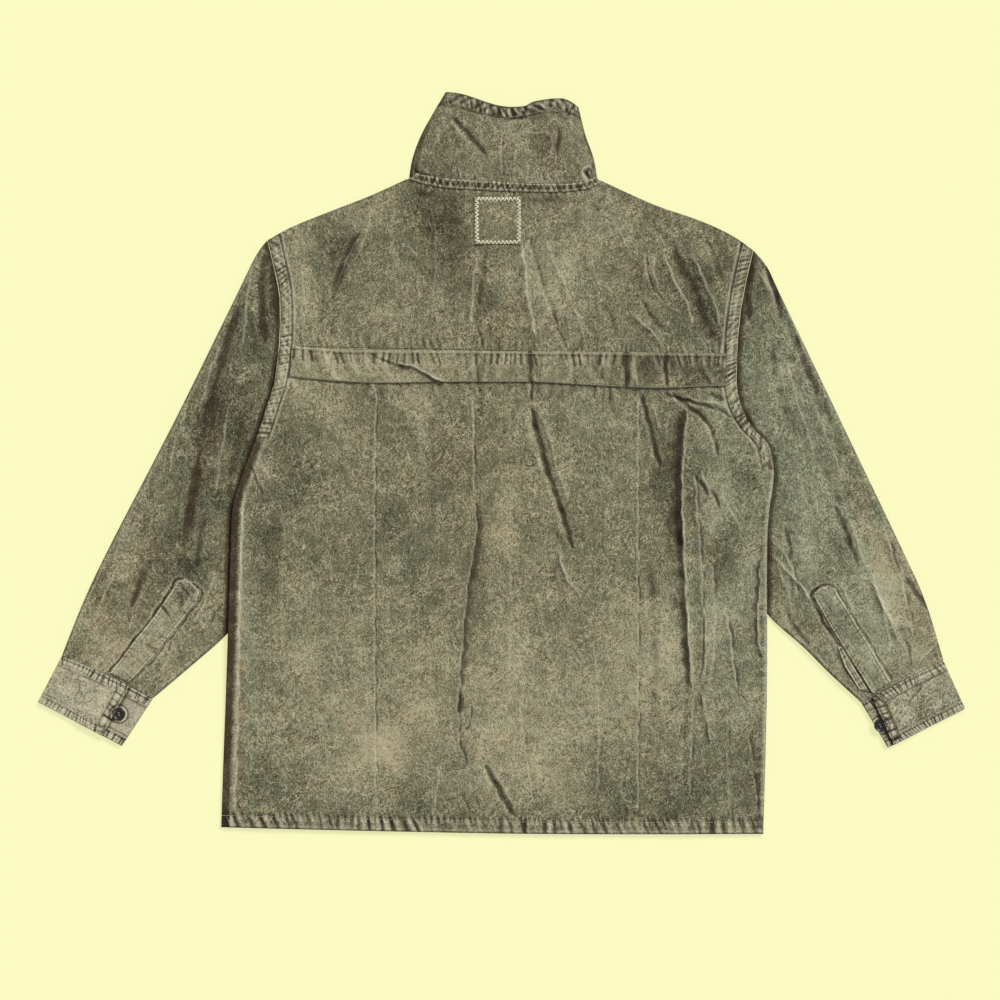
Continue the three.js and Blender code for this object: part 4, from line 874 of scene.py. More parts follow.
@dataclass(frozen=True)
class StitchRow:
    """Row of sewing: its path, the length of a stitch with its gap, and its swing if zigzag."""

    path: Table
    pitch: float = 3.1
    length: float = 2.2
    radius: float = 0.42
    swing: float = 0.0
    rise: float = 0.15

    def ends(self) -> tuple[Array, Array]:
        """Start and end of each stitch in the plane."""
        line = spaced(self.path, self.pitch)
        if self.swing:
            along = np.gradient(line, axis=0)
            along /= np.hypot(along[:, 0], along[:, 1])[:, None]
            across = np.stack([-along[:, 1], along[:, 0]], axis=-1)
            line = line + across * (self.swing * np.where(np.arange(len(line)) % 2, 1, -1))[:, None]
            return line[:-1], line[1:]
        middle = (line[:-1] + line[1:]) / 2
        half = (line[1:] - line[:-1]) * (self.length / self.pitch / 2)
        return middle - half, middle + half


STITCH_RINGS = ((0.0, 0.3, -0.5), (0.14, 0.9, 0.1), (0.5, 1.0, 0.35), (0.86, 0.9, 0.1), (1.0, 0.3, -0.5))
STITCH_SIDES = 5


def sewn(name: str, rows: Sequence[StitchRow], ground: Ground) -> Piece:
    """Join rows of stitches into one mesh that lies on the ground.

    Args:
        name: name of the piece.
        rows: the rows of sewing.
        ground: what they are sewn through.

    Returns:
        The mesh object, every stitch a short bead that dips into the cloth at its ends.
    """
    starts, stops = [], []
    radii = []
    for row in rows:
        start, stop = row.ends()
        reach = row.radius + row.rise
        heights = [ground.height(at) for at in (start, (start + stop) / 2, stop)]
        level = np.maximum(heights[1], (heights[0] + heights[2]) / 2) * 0.5
        starts.append(np.column_stack([start, 0.5 * heights[0] + level + reach - row.radius]))
        stops.append(np.column_stack([stop, 0.5 * heights[2] + level + reach - row.radius]))
        radii.append(np.full(len(start), row.radius))
    start, stop, radius = np.concatenate(starts), np.concatenate(stops), np.concatenate(radii)
    along = stop - start
    along /= np.linalg.norm(along, axis=1)[:, None]
    across = np.cross(along, (0.0, 0.0, 1.0))
    up = np.cross(across, along)
    turns = np.arange(STITCH_SIDES) * 2 * math.pi / STITCH_SIDES
    rings = []
    for share, thick, lift in STITCH_RINGS:
        middle = mix(start, stop, share) + up * (lift * radius)[:, None]
        spoke = across[:, None] * np.cos(turns)[:, None] + up[:, None] * np.sin(turns)[:, None]
        rings.append(middle[:, None] + spoke * (thick * radius)[:, None, None])
    points = np.stack(rings, axis=1)
    count = points.shape[1] * STITCH_SIDES
    one = np.arange(count).reshape(len(STITCH_RINGS), STITCH_SIDES)
    beyond = np.roll(one, -1, axis=1)
    sides = np.stack([one[:-1], beyond[:-1], beyond[1:], one[1:]], axis=-1).reshape(-1, 4)
    offsets = np.arange(len(points)) * count
    faces = (offsets[:, None, None] + sides[None]).reshape(-1, 4).tolist()
    faces += (offsets[:, None] + one[0][::-1]).tolist() + (offsets[:, None] + one[-1]).tolist()
    mesh = bpy.data.meshes.new(name)
    mesh.from_pydata((points.reshape(-1, 3) * MM).tolist(), [], faces)
    mesh.shade_smooth()
    return placed(name, mesh)


BAND_CREASES = creases(
    (((-122, 117), (-104, 112), (-90, 106), (-78, 99), (-66, 94)), 3, 3.5, 1.9, 0.8, 0.7, -1, 5),
    (((-156, 128), (-140, 122), (-126, 117), (-118, 113)), 2.5, 2.5, -1.4, 0.6, 0, 0, 6),
    (((-50, 104), (-40, 112), (-32, 118)), 2.5, 2.5, 1.3, 0.4, 0.5, 1, 5),
    (((-28, 134), (-28, 112), (-27, 92)), 3, 3, -1.4, 0.5, 0, 0, 4),
    (((-20, 134), (-19, 112), (-20, 92)), 4, 4, 1, 0, 0.3, 0, 4),
    (((33, 134), (34, 112), (36, 90)), 4, 4, -1.8, 0.95, 0, 0, 4),
    (((84, 134), (86, 112), (88, 90)), 3, 3, -1.1, 0.45, 0, 0, 4),
    (((148, 134), (148, 112), (149, 88)), 5, 5, -1.7, 0.95, 0, 0, 4),
    (((158, 134), (158, 112), (160, 88)), 4, 4, 1.2, 0, 0.3, 0, 4),
    (((193, 132), (194, 112), (196, 88)), 3, 3, -1.3, 0.85, 0, 0, 4),
    (((228, 132), (236, 112), (246, 92)), 4, 4, -1.1, 0.5, 0, 0, 4),
    (((-190, 132), (-193, 115), (-191, 98)), 3, 3, -0.7, 0.3, 0, 0, 5),
    (((-224, 134), (-228, 118), (-232, 104)), 4, 4, 0.9, 0, 0.3, 0, 5),
    (((-160, 132), (-158, 116), (-161, 98)), 4, 4, 0.6, 0, 0.2, 0, 5),
    (((60, 130), (64, 112), (62, 96)), 4, 4, 0.8, 0, 0.25, 0, 5),
    (((112, 130), (116, 110), (112, 92)), 4, 4, 0.8, 0, 0.25, 0, 5),
)
BAND_BLOTCHES = blotches(
    (-230, 118, 40, 24, 0, 0.12, 0.1), (-150, 112, 60, 20, 0, 0.04, 0.1), (20, 112, 50, 22, 0, -0.06, 0.1),
    (160, 112, 50, 24, 0, -0.28, 0), (240, 112, 50, 24, 0, -0.42, 0), (-60, 116, 26, 20, 0, -0.04, 0.2),
)
BAND_PUCKERS = gathers(
    (shift_line(BAND_TOP, 0, -9), 10, 6.8, 0.6, 301, 0.8, 0.6, 0.12),
    (shift_line(BAND_TOP, 0, -20), 19, 22, 0.9, 302, 0.28, 0.35, 0.3),
)
# Lines along which seams are gathered, then the gathers:
# path, reach, pitch, depth, seed, shade, worn, slant
COLLAR_RIM = ((-56, 430), (-42, 426), (-4, 414), (25, 413), (40, 418), (66, 424), (86, 414))
TAPE_MIDDLE = ((-106, 338.5), (-78, 332.5), (-47, 329), (46, 324.8), (92, 326.5), (115, 334.5))
LEFT_FELL, RIGHT_FELL = shift_line(LEFT_ARMHOLE, 7), shift_line(RIGHT_ARMHOLE, -7)
LEFT_LOWER_FELL = shift_line(LEFT_SIDE[:4], 7)
RIGHT_LOWER_FELL = ((271, 126), (270, 94), (276, 65), (290, 41), (308, 18), (313, -8))
ARMHOLE_PUCKERS = gathers(
    (LEFT_FELL, 8.5, 4.6, 0.8, 311, 0.7, 0.9, 0.5), (LEFT_LOWER_FELL, 8.5, 4.6, 0.8, 312, 0.7, 0.9, 0.5),
    (RIGHT_FELL, 8.5, 4.6, 0.8, 313, 0.8, 0.9, 0.5), (RIGHT_LOWER_FELL, 8.5, 4.6, 0.9, 314, 1, 1, 0.35),
)
ARMHOLE_CROSSINGS = gathers(
    (LEFT_FELL, 8, 9, 0.5, 315, 0.4, 0.7, -1.4), (LEFT_LOWER_FELL, 8, 9, 0.5, 316, 0.4, 0.7, -1.4),
    (RIGHT_FELL, 8, 9, 0.5, 317, 0.4, 0.7, 1.4), (RIGHT_LOWER_FELL, 8, 8, 0.6, 318, 0.9, 1, 1),
)
BACK_PUCKERS = gathers(
    (shift_line(HEM, 0, 8), 10, 11.5, 1.1, 321, 1, 0.8, 0.3),
    (shift_line(HEM, 0, 15), 7, 5.5, 0.6, 322, 0.8, 0.7, 0.2),
    (shift_line(BAND_BOTTOM, 0, -8), 12, 13, 0.8, 323, 0.4, 0.3, 0.2),
    (shift_line(LEFT_SIDE[3:], 13), 8, 11, 0.35, 324, 0.2, 0.2),
    (shift_line(RIGHT_SIDE[4:], -7), 8, 11, 0.35, 325, 0.25, 0.2),
)
YOKE_PUCKERS = gathers(
    (BACK_NECK, 14, 7, 0.7, 331, 0.5, 0.4, 0.2),
    (shift_line(YOKE_SEAM, 0, 7), 9, 7, 0.7, 332, 0.5, 0.4, 0.15),
    (shift_line(LEFT_SHOULDER, 2, -6), 7, 9, 0.3, 333, 0.2, 0.15),
    (shift_line(RIGHT_SHOULDER, -2, -6), 7, 9, 0.3, 334, 0.2, 0.15),
)
COLLAR_PUCKERS = gathers(
    (COLLAR_RIM, 8, 9.5, 0.6, 343, 1, 0.7, 0.9), (COLLAR_RIM, 8, 12.5, 0.6, 344, 0.7, 0.6, -0.7),
    (COLLAR_RIM, 9, 5.4, 0.7, 341, 0.8, 0.6),
    (((-104, 345), (-70, 342), (0, 338), (60, 338), (110, 342)), 8, 5, 0.6, 342, 0.6, 0.4),
)
TAPE_PUCKERS = gathers(
    (TAPE_MIDDLE, 8, 5.2, 0.7, 351, 0.8, 0.8, 0.4), (TAPE_MIDDLE, 8, 6.5, 0.5, 352, 0.7, 0.6, -0.6),
)
LEFT_SLEEVE_PUCKERS = gathers(
    (shift_line(LEFT_CUFF_SEAM, 3, 5), 10, 5.5, 0.5, 361, 0.2, 0.3),
)
RIGHT_SLEEVE_PUCKERS = gathers(
    (shift_line(RIGHT_CUFF_SEAM, -3, 5), 10, 5.5, 0.5, 371, 0.2, 0.3),
)
PATCH_CREASES = creases(
    (((-10, 312), (-8, 290), (-12, 262)), 5, 5, 0.6, 0, 0.15),
    (((8, 308), (12, 286), (9, 264)), 4, 4, -0.5, 0.15),
)
COLLAR_FOLDS = creases(
    (((107, 350), (100, 348.7), (95.6, 342.8), (98.5, 336), (104, 332)), 2, 2, 1.2, 0, 1, 0, 4),
    (((105, 347.5), (100.5, 345), (100.5, 340), (105, 336)), 2, 2, -1.2, 1, 0, 0, 3),
    (((111, 345), (106, 341), (108, 336), (113, 333)), 1.8, 1.8, 1, 0, 0.8, 0, 4),
)
# Painted shadow on the sleeve beside each placket's edges, and painted highlight along its tip: creases with
# no rise.
LEFT_PLACKET_SHADING = creases(
    (((-374, -136), (-385, -139.5), (-389.5, -147), (-411, -181), (-436, -212), (-464, -248)),
      2, 1.5, 0, 1.3, 0, 0, 3),
    (((-386, -143), (-378, -139.5), (-368, -142), (-360, -150), (-360, -158)), 1.5, 1.5, 0, 0, 1.2, 0, 3),
    (((-366, -139), (-354, -152), (-358, -165), (-384, -198), (-410, -231), (-438, -259)),
      1.6, 1.6, 0, 0.85, 0, 0, 6),
)
# Painted shadow on the sleeve beside the placket's edges and in its slit, and painted highlight along its
# tip: creases with no rise.
RIGHT_PLACKET_SHADING = creases(
    (((369, -151), (375, -145.5), (387, -143.4), (396, -148)), 1.5, 1.5, 0, 0.8, 0, 0, 2),
    (((376, -146), (365.5, -157), (368.5, -164), (385.5, -194), (409, -231), (436, -272)),
      3.4, 1.2, 0, 1.2, 0, 0, 4),
    (((370, -160), (372, -153), (380, -148), (390, -149), (395, -156)), 1.5, 1.5, 0, 0, 1.2, 0, 3),
    (((388, -144.5), (396, -149), (398.5, -154), (414.5, -180), (437, -215), (462.5, -258)),
      1.6, 1.6, 0, 0.7, 0, 0, 4),
)
LEFT_PLACKET_CREASES = blotches(
    (-371, -151, 16, 13, 0, -0.3, 0), (-428, -222, 24, 38, 40, 0.24, 0.2),
) + creases(
    (((-378, -146), (-372, -152), (-366, -158)), 2, 2, -0.8, 0.7, 0, 0, 3),
    (((-384, -152), (-376, -162), (-380, -176)), 2, 2, -0.7, 0.6, 0, 0, 4),
    (((-366, -150), (-368, -162), (-378, -172)), 2, 2, 0.6, 0, 0.4, 0, 4),
    (((-400, -166), (-396, -174), (-391, -182)), 2.2, 2.2, -0.9, 0.95, 0, 0, 4),
    (((-420, -212), (-410, -220), (-404, -226)), 5, 5, -0.5, 0.5, 0, 0, 5),
    (((-392, -176), (-412, -200), (-428, -222)), 3, 3, 0.6, 0, 0.25),
)
RIGHT_PLACKET_CREASES = blotches(
    (430, -240, 26, 40, -40, 0.14, 0), (396, -186, 20, 20, 0, -0.1, 0), (410, -205, 60, 90, 0, 0, -0.7),
) + creases(
    (((376, -156), (384, -164), (388, -176)), 2, 2, -0.7, 0.5, 0, 0, 4),
    (((384, -152), (392, -164), (398, -178)), 2, 2, 0.6, 0, 0.35, 0, 4),
    (((402, -196), (414, -218), (428, -240)), 3, 3, 0.5, 0, 0.25),
    (((424, -236), (434, -250), (444, -264)), 3, 3, -0.5, 0.35),
)
LEFT_CUFF_CREASES = blotches(
    (-490, -285, 80, 60, 0, 0, 0.25),
) + creases(
    (((-463, -312), (-454, -322), (-445, -331)), 2.5, 2.5, 1.2, 0.3, 0.5, 1, 3),
    (((-540, -262), (-510, -272), (-480, -288)), 7, 7, 0.7, 0, 0.12),
    (((-520, -246), (-500, -266), (-492, -284)), 6, 6, -0.6, 0.15),
)
RIGHT_CUFF_CREASES = blotches(
    (510, -285, 60, 40, 0, -0.2, -0.3),
) + creases(
    (((514, -249), (498, -263), (486, -279), (482, -286)), 3, 4, 1.6, 0.35, 0.5, -1, 6),
    (((522, -262), (508, -280), (502, -300)), 5, 5, -0.8, 0.3),
    (((540, -262), (530, -280), (534, -298)), 4, 4, 0.7, 0, 0.2),
)
BODY_SHADES = blotches(
    (0, -290, 290, 125, 0, 0.12, 0), (-195, -300, 80, 110, 0, 0.06, 0), (0, -424, 400, 9, 0, -0.16, 0),
    (-300, -80, 40, 100, 0, -0.09, 0), (60, 190, 52, 50, 0, 0.13, -0.1),
    (238, 170, 48, 62, 0, -0.14, -0.15), (205, -20, 30, 70, 0, -0.16, 0), (-85, 300, 42, 40, 0, -0.11, 0),
    (271, 112, 9, 22, 0, 0.4, 0.1), (-253, 112, 9, 24, 0, 0.3, 0.1), (275, -100, 70, 340, 0, 0.1, -0.5),
    (150, 60, 160, 120, 0, 0, -0.15), (-314, -230, 7, 230, -1.5, -0.1, 1.4),
    (-298, -230, 10, 210, -1.5, 0.1, -0.4), (265, -99, 24, 22, 0, -0.2, 0),
    (283, -15, 18, 26, 0, -0.12, -0.2), (245, -130, 7, 90, 0, 0.1, 0.2),
)
LEFT_SLEEVE_SHADES = blotches(
    (-322, 60, 30, 70, 20, -0.13, 0), (-312, 110, 50, 90, 22, -0.1, -0.2),
    (-345, 30, 11, 125, 13, -0.08, 1.3), (-356, -116, 15, 13, 20, -0.24, -1.1),
    (-331, -46, 10, 12, 0, -0.22, -1), (-343, -72, 5, 6, 0, -0.2, -0.6), (-430, -150, 8, 70, 18, -0.06, 1),
    (-470, -170, 8, 50, 20, -0.08, 0.8), (-385, -125, 42, 52, 20, -0.09, 0),
)
RIGHT_SLEEVE_SHADES = blotches(
    (325, -20, 44, 115, -20, 0.09, -0.3), (435, -180, 48, 52, 0, 0.17, -0.2),
    (390, 0, 130, 280, -25, 0.02, -0.8), (478, -150, 34, 100, -22, 0.02, 0.8),
    (430, -60, 14, 90, -22, 0, 0.6),
)
# Stitches of the seams and of the narrow parts: length with the gap, length, radius
SEAM_STITCH, FINE_STITCH = (2.8, 2.0, 0.38), (2.7, 1.9, 0.36)
BODY_STITCHES = (
    StitchRow(shift_line(HEM, 0, 14.0)),
    StitchRow(shift_line(BAND_TOP, 0, -2.6)),
    *(StitchRow(shift_line(line, inward), *SEAM_STITCH)
      for line in (LEFT_ARMHOLE, LEFT_SIDE[:4]) for inward in (3.0, 10.5)),
    *(StitchRow(shift_line(line, -inward), *SEAM_STITCH)
      for line in (RIGHT_ARMHOLE, RIGHT_SIDE[:5]) for inward in (3.0, 10.5)),
)
COLLAR_STITCHES = (
    StitchRow(
        ((-52, 421), (-42, 414), (-14, 408), (-1, 406), (12, 408), (34, 412), (56, 417), (72, 422),
         (92, 408)), *SEAM_STITCH,
    ),
    StitchRow(shift_line(TAPE_LOWER, 0, 2.0), *SEAM_STITCH),
    StitchRow(shift_line(TAPE_UPPER, 0, -2.0), *SEAM_STITCH),
)
PATCH_STITCHES = tuple(
    StitchRow(path, 2.3, 2.3, 0.78, swing=2.4)
    for path in (
        ((-29, 311.5), (-4, 311), (20, 311.5)), ((20, 311.5), (20.5, 286), (20, 260.5)),
        ((20, 260.5), (-4, 260), (-29, 260.5)), ((-29, 260.5), (-29.5, 286), (-29, 311.5)),
    )
)


def settled(xy: Array, seed: int, *groups: Sequence[Crease | Puckers | Blotch]) -> Relief:
    """Relief of washed canvas over a grid of points, with what is laid on it."""
    relief = Relief.over(xy, *groups)
    broad, fine = crumple(xy, 21.0, seed), crumple(xy, 8.0, seed + 7)
    relief.height += 1.2 * (broad - 0.5) + 0.28 * (fine - 0.5)
    # Pale rub with painted highlight on the crumple's ridges, and painted shade in its hollows.
    relief.worn += 0.48 * smoothstep(0.85, 1.45, broad) + 0.4 * smoothstep(0.9, 1.55, fine)
    relief.grime_and_shade += 0.22 * smoothstep(0.35, 0.05, broad)
    return relief


def add_felled_seam(relief: Relief, away: Array, here: Array, width: float, rise: float) -> None:
    """Raise a felled seam along an edge: two sunk rows of sewing, rubbed ridges with painted highlight, and
    dirt with painted shade in the ditch and in the gap at the edge.

    Args:
        relief: changed in place.
        away: distance of each point from the edge.
        here: how fully the seam is there, 0 to 1.
        width: of the seam.
        rise: of its folded cloth.
    """
    inside = smoothstep(-0.5, 1.2, away) * (1 - smoothstep(width - 0.9, width + 0.7, away))
    rows = bell(away - 3.0, 1.2) + bell(away - width + 3.0, 1.2)
    relief.height += here * (rise * inside - 0.35 * rows)
    relief.tone += here * 0.16 * inside
    # Painted shade: dark in the ditch beyond the seam and in the gap at its edge.
    relief.grime_and_shade += here * (0.75 * bell(away - width - 0.9, 1.3) + 0.5 * (1 - smoothstep(0, 2.2, away)))
    relief.grime_and_shade += here * 0.3 * np.minimum(rows, 1)
    relief.worn += here * (0.45 * bell(away - width + 1.0, 1.1) + 0.55 * bell(away - width - 3.4, 1.4))
    relief.worn += here * 0.35 * bell(away - width / 2, 1.6)


@dataclass
class Panel:
    """Panel of the body that has been laid out: its points, and its sides' distances."""

    xy: Array
    from_left: Array
    from_right: Array
    u: Array
    v: Array


@dataclass
class Body:
    """Front, back and yoke, with the strip over the yoke seam."""

    spans_across: int = 356
    upper_share: float = 0.21
    upper_spans: int = 100
    lower_spans: int = 156
    yoke_spans: int = 164
    floor_step: int = 4
    loft: float = 3.0
    unevenness: float = 0.6
    tuck_lift: float = 4.2
    tuck_width: float = 0.175  # share of the body's width that a sleeve goes in under it
    tuck_end: float = 0.755  # share of the back's length at which it comes out
    band_share: float = 0.077
    chest: float = 540.0  # width at the armholes
    yoke_depth: float = 190.0
    front_columns: int = 52  # of points on each side of the slit
    front_inset: float = 0.8  # how far the front's sides stay within the back's
    fell_width: float = 13.5
    fell_rise: float = 0.9
    band_rise: float = 1.6  # more, where the strip's ends are sewn in
    hem_depth: float = 15.5
    hem_rise: float = 0.8
    band_lip: float = 0.9
    sunk: float = 0.4  # how far sewing may pull the cloth down
    seed: int = 11
    band_seed: int = 23
    left_seam_end: float = 18.0  # where the armhole's seam ends and the side's starts, along Y
    right_seam_end: float = -12.0
    grids: dict[str, Array] = field(default_factory=dict)

    def panel(self, first: Curve, last: Curve, left: Table, right: Table, vs: Array) -> Panel:
        """Lay out a panel between its four edges."""
        us = np.linspace(0, 1, self.spans_across + 1)
        xy = patch_between(first, last, edge(left), edge(right), us, vs)
        width = np.linalg.norm(xy[:, -1] - xy[:, 0], axis=-1)[:, None]
        u, v = np.broadcast_arrays(us[None, :], vs[:, None])
        return Panel(xy, u * width, (1 - u) * width, u, v)

    def lift(self, u: Array, v: Array) -> Array:
        """Height that the tucked sleeves lift the body by."""
        from_side = np.minimum(u, 1 - u)
        across = np.clip((self.tuck_width - from_side) / 0.055, 0, 1)
        above, below = np.clip(v / self.band_share, 0, 1), np.clip((self.tuck_end - v) / 0.15, 0, 1)
        return self.tuck_lift * across * np.minimum(above, below)

    def laid(self, panel: Panel, relief: Relief, edge_share: Array, lift: Array) -> Array:
        """Points of a panel's face side, loose over the front panel."""
        from_side = np.minimum(panel.u, 1 - panel.u)
        side_share = mix(0.35, 1.0, smoothstep(0, 0.08, from_side))
        loose = np.maximum(0.0, self.loft + self.unevenness * swell(panel.xy) + relief.height)
        height = 2 * CLOTH + LAID_GAP + lift + loose * side_share * edge_share
        return raised(panel.xy, height)

    def back(self) -> Piece:
        """Back panel with its armhole and side seams and its hem."""
        upper = np.linspace(0, self.upper_share, self.upper_spans + 1)
        vs = np.concatenate([upper, np.linspace(self.upper_share, 1, self.lower_spans + 1)[1:]])
        panel = self.panel(edge(YOKE_SEAM), edge(HEM), LEFT_SIDE, RIGHT_SIDE, vs)
        panel.xy[0, :, 1] -= SEAM
        y = panel.xy[..., 1]
        relief = settled(panel.xy, self.seed, BODY_BLOTCHES, BODY_SHADES, BACK_CREASES)
        lift = windowed(self.lift(panel.u, panel.v), 3, np.mean)
        over = self.laid(panel, relief, mix(0.4, 1.0, smoothstep(1.0, 0.93, panel.v)), lift)
        sewing = Relief.over(panel.xy, ARMHOLE_PUCKERS, ARMHOLE_CROSSINGS, BACK_PUCKERS)
        for side, away, lowest in (
            (Side.LEFT, panel.from_left, self.left_seam_end),
            (Side.RIGHT, panel.from_right, self.right_seam_end),
        ):
            armhole = smoothstep(lowest, lowest + 16, y)
            rise = self.fell_rise + self.band_rise * smoothstep(84, 92, y)
            add_felled_seam(sewing, away, armhole, self.fell_width, rise)
            self.finish_side(sewing, side, away, 1 - armhole)
        self.finish_hem(sewing, panel.xy)
        return self.sewn_down("back", over, relief, sewing, CLOTH + LAID_GAP + lift)

    def sewn_down(
        self, key: str, over: Array, relief: Relief, sewing: Relief, least: Array | float
    ) -> Piece:
        """Add the relief of its seams to a panel that is laid loose, and make its mesh.

        Args:
            key: name of the panel.
            over: points of its face side, changed in place.
            relief: what is laid on it.
            sewing: relief of its seams.
            least: the lowest that its other side may lie.

        Returns:
            The mesh object.
        """
        over[..., 2] += np.maximum(sewing.height, -self.sunk)
        relief.add_finish(sewing)
        self.grids[key] = over
        floor = floor_under(over, self.floor_step, CLOTH, least)
        return ClothMesh(f"{key}_canvas", over, floor, relief, self.floor_step).build()

    def finish_side(self, relief: Relief, side: Side, away: Array, here: Array) -> None:
        """Side seam below the armhole: rolled under on the left, brown with painted shade where it turns
        down, and a worn fold on the right, pale with painted highlight.
        """
        if side is Side.LEFT:
            rolled = 1 - smoothstep(6.0, 11.0, away)
            relief.grime_and_shade += here * 0.8 * rolled
            relief.hue += here * 0.5 * rolled
            relief.height += here * (0.5 * bell(away - 12.0, 3.0) - 0.9 * rolled * (1 - away / 14))
            relief.worn += here * 0.35 * bell(away - 12.5, 1.8)
        else:
            relief.worn += here * 0.45 * bell(away - 2.0, 1.8)
            relief.height += here * 0.5 * bell(away - 3.0, 2.5)
            relief.grime_and_shade += here * 0.25 * bell(away - 7.0, 2.5)

    def finish_hem(self, relief: Relief, xy: Array) -> None:
        """Turned hem: raised, with its sunk sewing, a rubbed lower edge with painted shade at its very edge,
        and a painted shadow above.
        """
        bottom = np.interp(xy[-1, :, 0], *np.array(HEM, float).T)
        above = xy[..., 1] - bottom[None, :]
        inside = 1 - smoothstep(self.hem_depth - 0.8, self.hem_depth + 1.0, above)
        relief.height += self.hem_rise * inside - 0.5 * bell(above - self.hem_depth + 1.5, 1.5)
        relief.grime_and_shade += 0.45 * bell(above - self.hem_depth - 0.5, 1.5)
        relief.grime_and_shade += 0.3 * (1 - smoothstep(0, 2.5, above))
        relief.worn += 0.3 * bell(above - self.hem_depth + 3.2, 1.3) + 0.3 * bell(above - 2.8, 1.4)
        relief.tone += 0.06 * inside

    def yoke(self) -> Piece:
        """Yoke, from the shoulders to the seam under the strip."""
        edges = edge(LEFT_SHOULDER), edge(BACK_NECK), edge(RIGHT_SHOULDER)
        top = joined(edges, [0, NECK_START, NECK_END, 1])
        vs = np.linspace(0, 1, self.yoke_spans + 1)
        panel = self.panel(top, edge(YOKE_SEAM), LEFT_ARMHOLE, RIGHT_ARMHOLE, vs)
        x, y, v = panel.xy[..., 0], panel.xy[..., 1], panel.v
        relief = settled(panel.xy, self.seed, BODY_BLOTCHES, BODY_SHADES, YOKE_CREASES)
        over = self.laid(panel, relief, mix(0.45, 1.0, smoothstep(0, 0.26, v)), np.zeros_like(v))
        sewing = Relief.over(panel.xy, ARMHOLE_PUCKERS, ARMHOLE_CROSSINGS, YOKE_PUCKERS)
        rise = self.fell_rise + self.band_rise * smoothstep(147, 138, y)
        for away in (panel.from_left, panel.from_right):
            add_felled_seam(sewing, away, np.ones_like(v), self.fell_width, rise)
        from_top = v * self.yoke_depth
        beside_neck = np.abs(x) < 100
        # Painted shade along the shoulders' edge; below the neck, a darker band 14 mm down.
        sewing.grime_and_shade += 0.3 * smoothstep(0.03, 0.0, v) * ~beside_neck
        sewing.grime_and_shade += 0.35 * bell(from_top - 14, 5) * beside_neck
        return self.sewn_down("yoke", over, relief, sewing, CLOTH + LAID_GAP)

    def band(self) -> Piece:
        """Strip over the yoke seam: sewn along its top, free and lifted along its lower edge."""
        us, vs = np.linspace(0, 1, 344 + 1), np.linspace(0, 1, 24 + 1)
        top, bottom = edge(BAND_TOP)(us), edge(BAND_BOTTOM)(us)
        xy = mix(top[None], bottom[None], vs[:, None, None])
        relief = settled(xy, self.band_seed, BAND_CREASES, BAND_PUCKERS, BAND_BLOTCHES)
        ground = Ground(self.grids["yoke"], self.grids["back"])
        v = np.broadcast_to(vs[:, None], xy.shape[:2])
        base = ground.rest(xy, 4, 0.15) + CLOTH
        free = smoothstep(0.15, 1.0, v)
        creased = np.maximum(-0.15, (relief.height + 0.3) * mix(0.25, 1.0, free))
        height = base + self.band_lip * free + creased
        turned = smoothstep(0.9, 0.93, v)
        height += 0.35 * turned * smoothstep(1.0, 0.97, v)
        relief.worn += 0.75 * smoothstep(0.955, 0.99, v) + 0.3 * bell(v - 0.05, 0.035)
        relief.grime_and_shade += 0.35 * bell(v - 0.125, 0.03)
        over = raised(xy, height)
        floor = floor_under(over, self.floor_step, STRIP_CLOTH, base - CLOTH)
        self.grids["band"] = over
        return ClothMesh("yoke_seam_strip", over, floor, relief, self.floor_step).build()

    def front(self) -> Piece:
        """Plain front panel, flat on the table, with the slit that opens it at the neck."""
        half = NECK_SLIT_WIDTH / 2 / self.chest
        middle = (NECK_START + NECK_END) / 2
        columns, inset = self.front_columns, self.front_inset
        us = np.concatenate([np.linspace(0, middle - half, columns), np.linspace(middle + half, 1, columns)])
        upper_vs, lower_vs = np.linspace(0, 1, 31), np.linspace(0, 1, 81)
        neck: Curve = lambda shares: front_neck(shares, -SEAM)
        shoulders = edge(LEFT_SHOULDER, inset), edge(RIGHT_SHOULDER, -inset)
        top = joined([shoulders[0], neck, shoulders[1]], [0, NECK_START, NECK_END, 1])
        seam = edge(YOKE_SEAM)
        armholes = edge(LEFT_ARMHOLE, inset), edge(RIGHT_ARMHOLE, -inset)
        sides = edge(LEFT_SIDE, inset), edge(RIGHT_SIDE, -inset)
        upper = patch_between(top, seam, *armholes, us, upper_vs)
        lower = patch_between(seam, edge(HEM), *sides, us, lower_vs)
        xy = np.concatenate([upper, lower[1:]])
        tucked = self.lift(*np.broadcast_arrays(us[None, :], lower_vs[:, None]))
        lift = np.concatenate([np.zeros((len(upper_vs) - 1, len(us))), tucked])
        points = raised(xy, lift).reshape(-1, 3) * MM
        cells = grid_faces(numbered(xy))
        beside_slit = np.arange(len(cells)) % (len(us) - 1) == columns - 1
        slit_end = neck(np.array(0.5))[1] - NECK_SLIT_LENGTH
        kept = cells[~(beside_slit & (points[cells[:, 1], 1] > slit_end * MM))]
        mesh = bpy.data.meshes.new("front_canvas")
        mesh.from_pydata(points.tolist(), [], kept.tolist())
        mesh.shade_smooth()
        piece = placed("front_canvas", mesh)
        shell = piece.modifiers.new("cloth", "SOLIDIFY")
        shell.thickness, shell.offset = CLOTH * MM, 1.0
        return piece


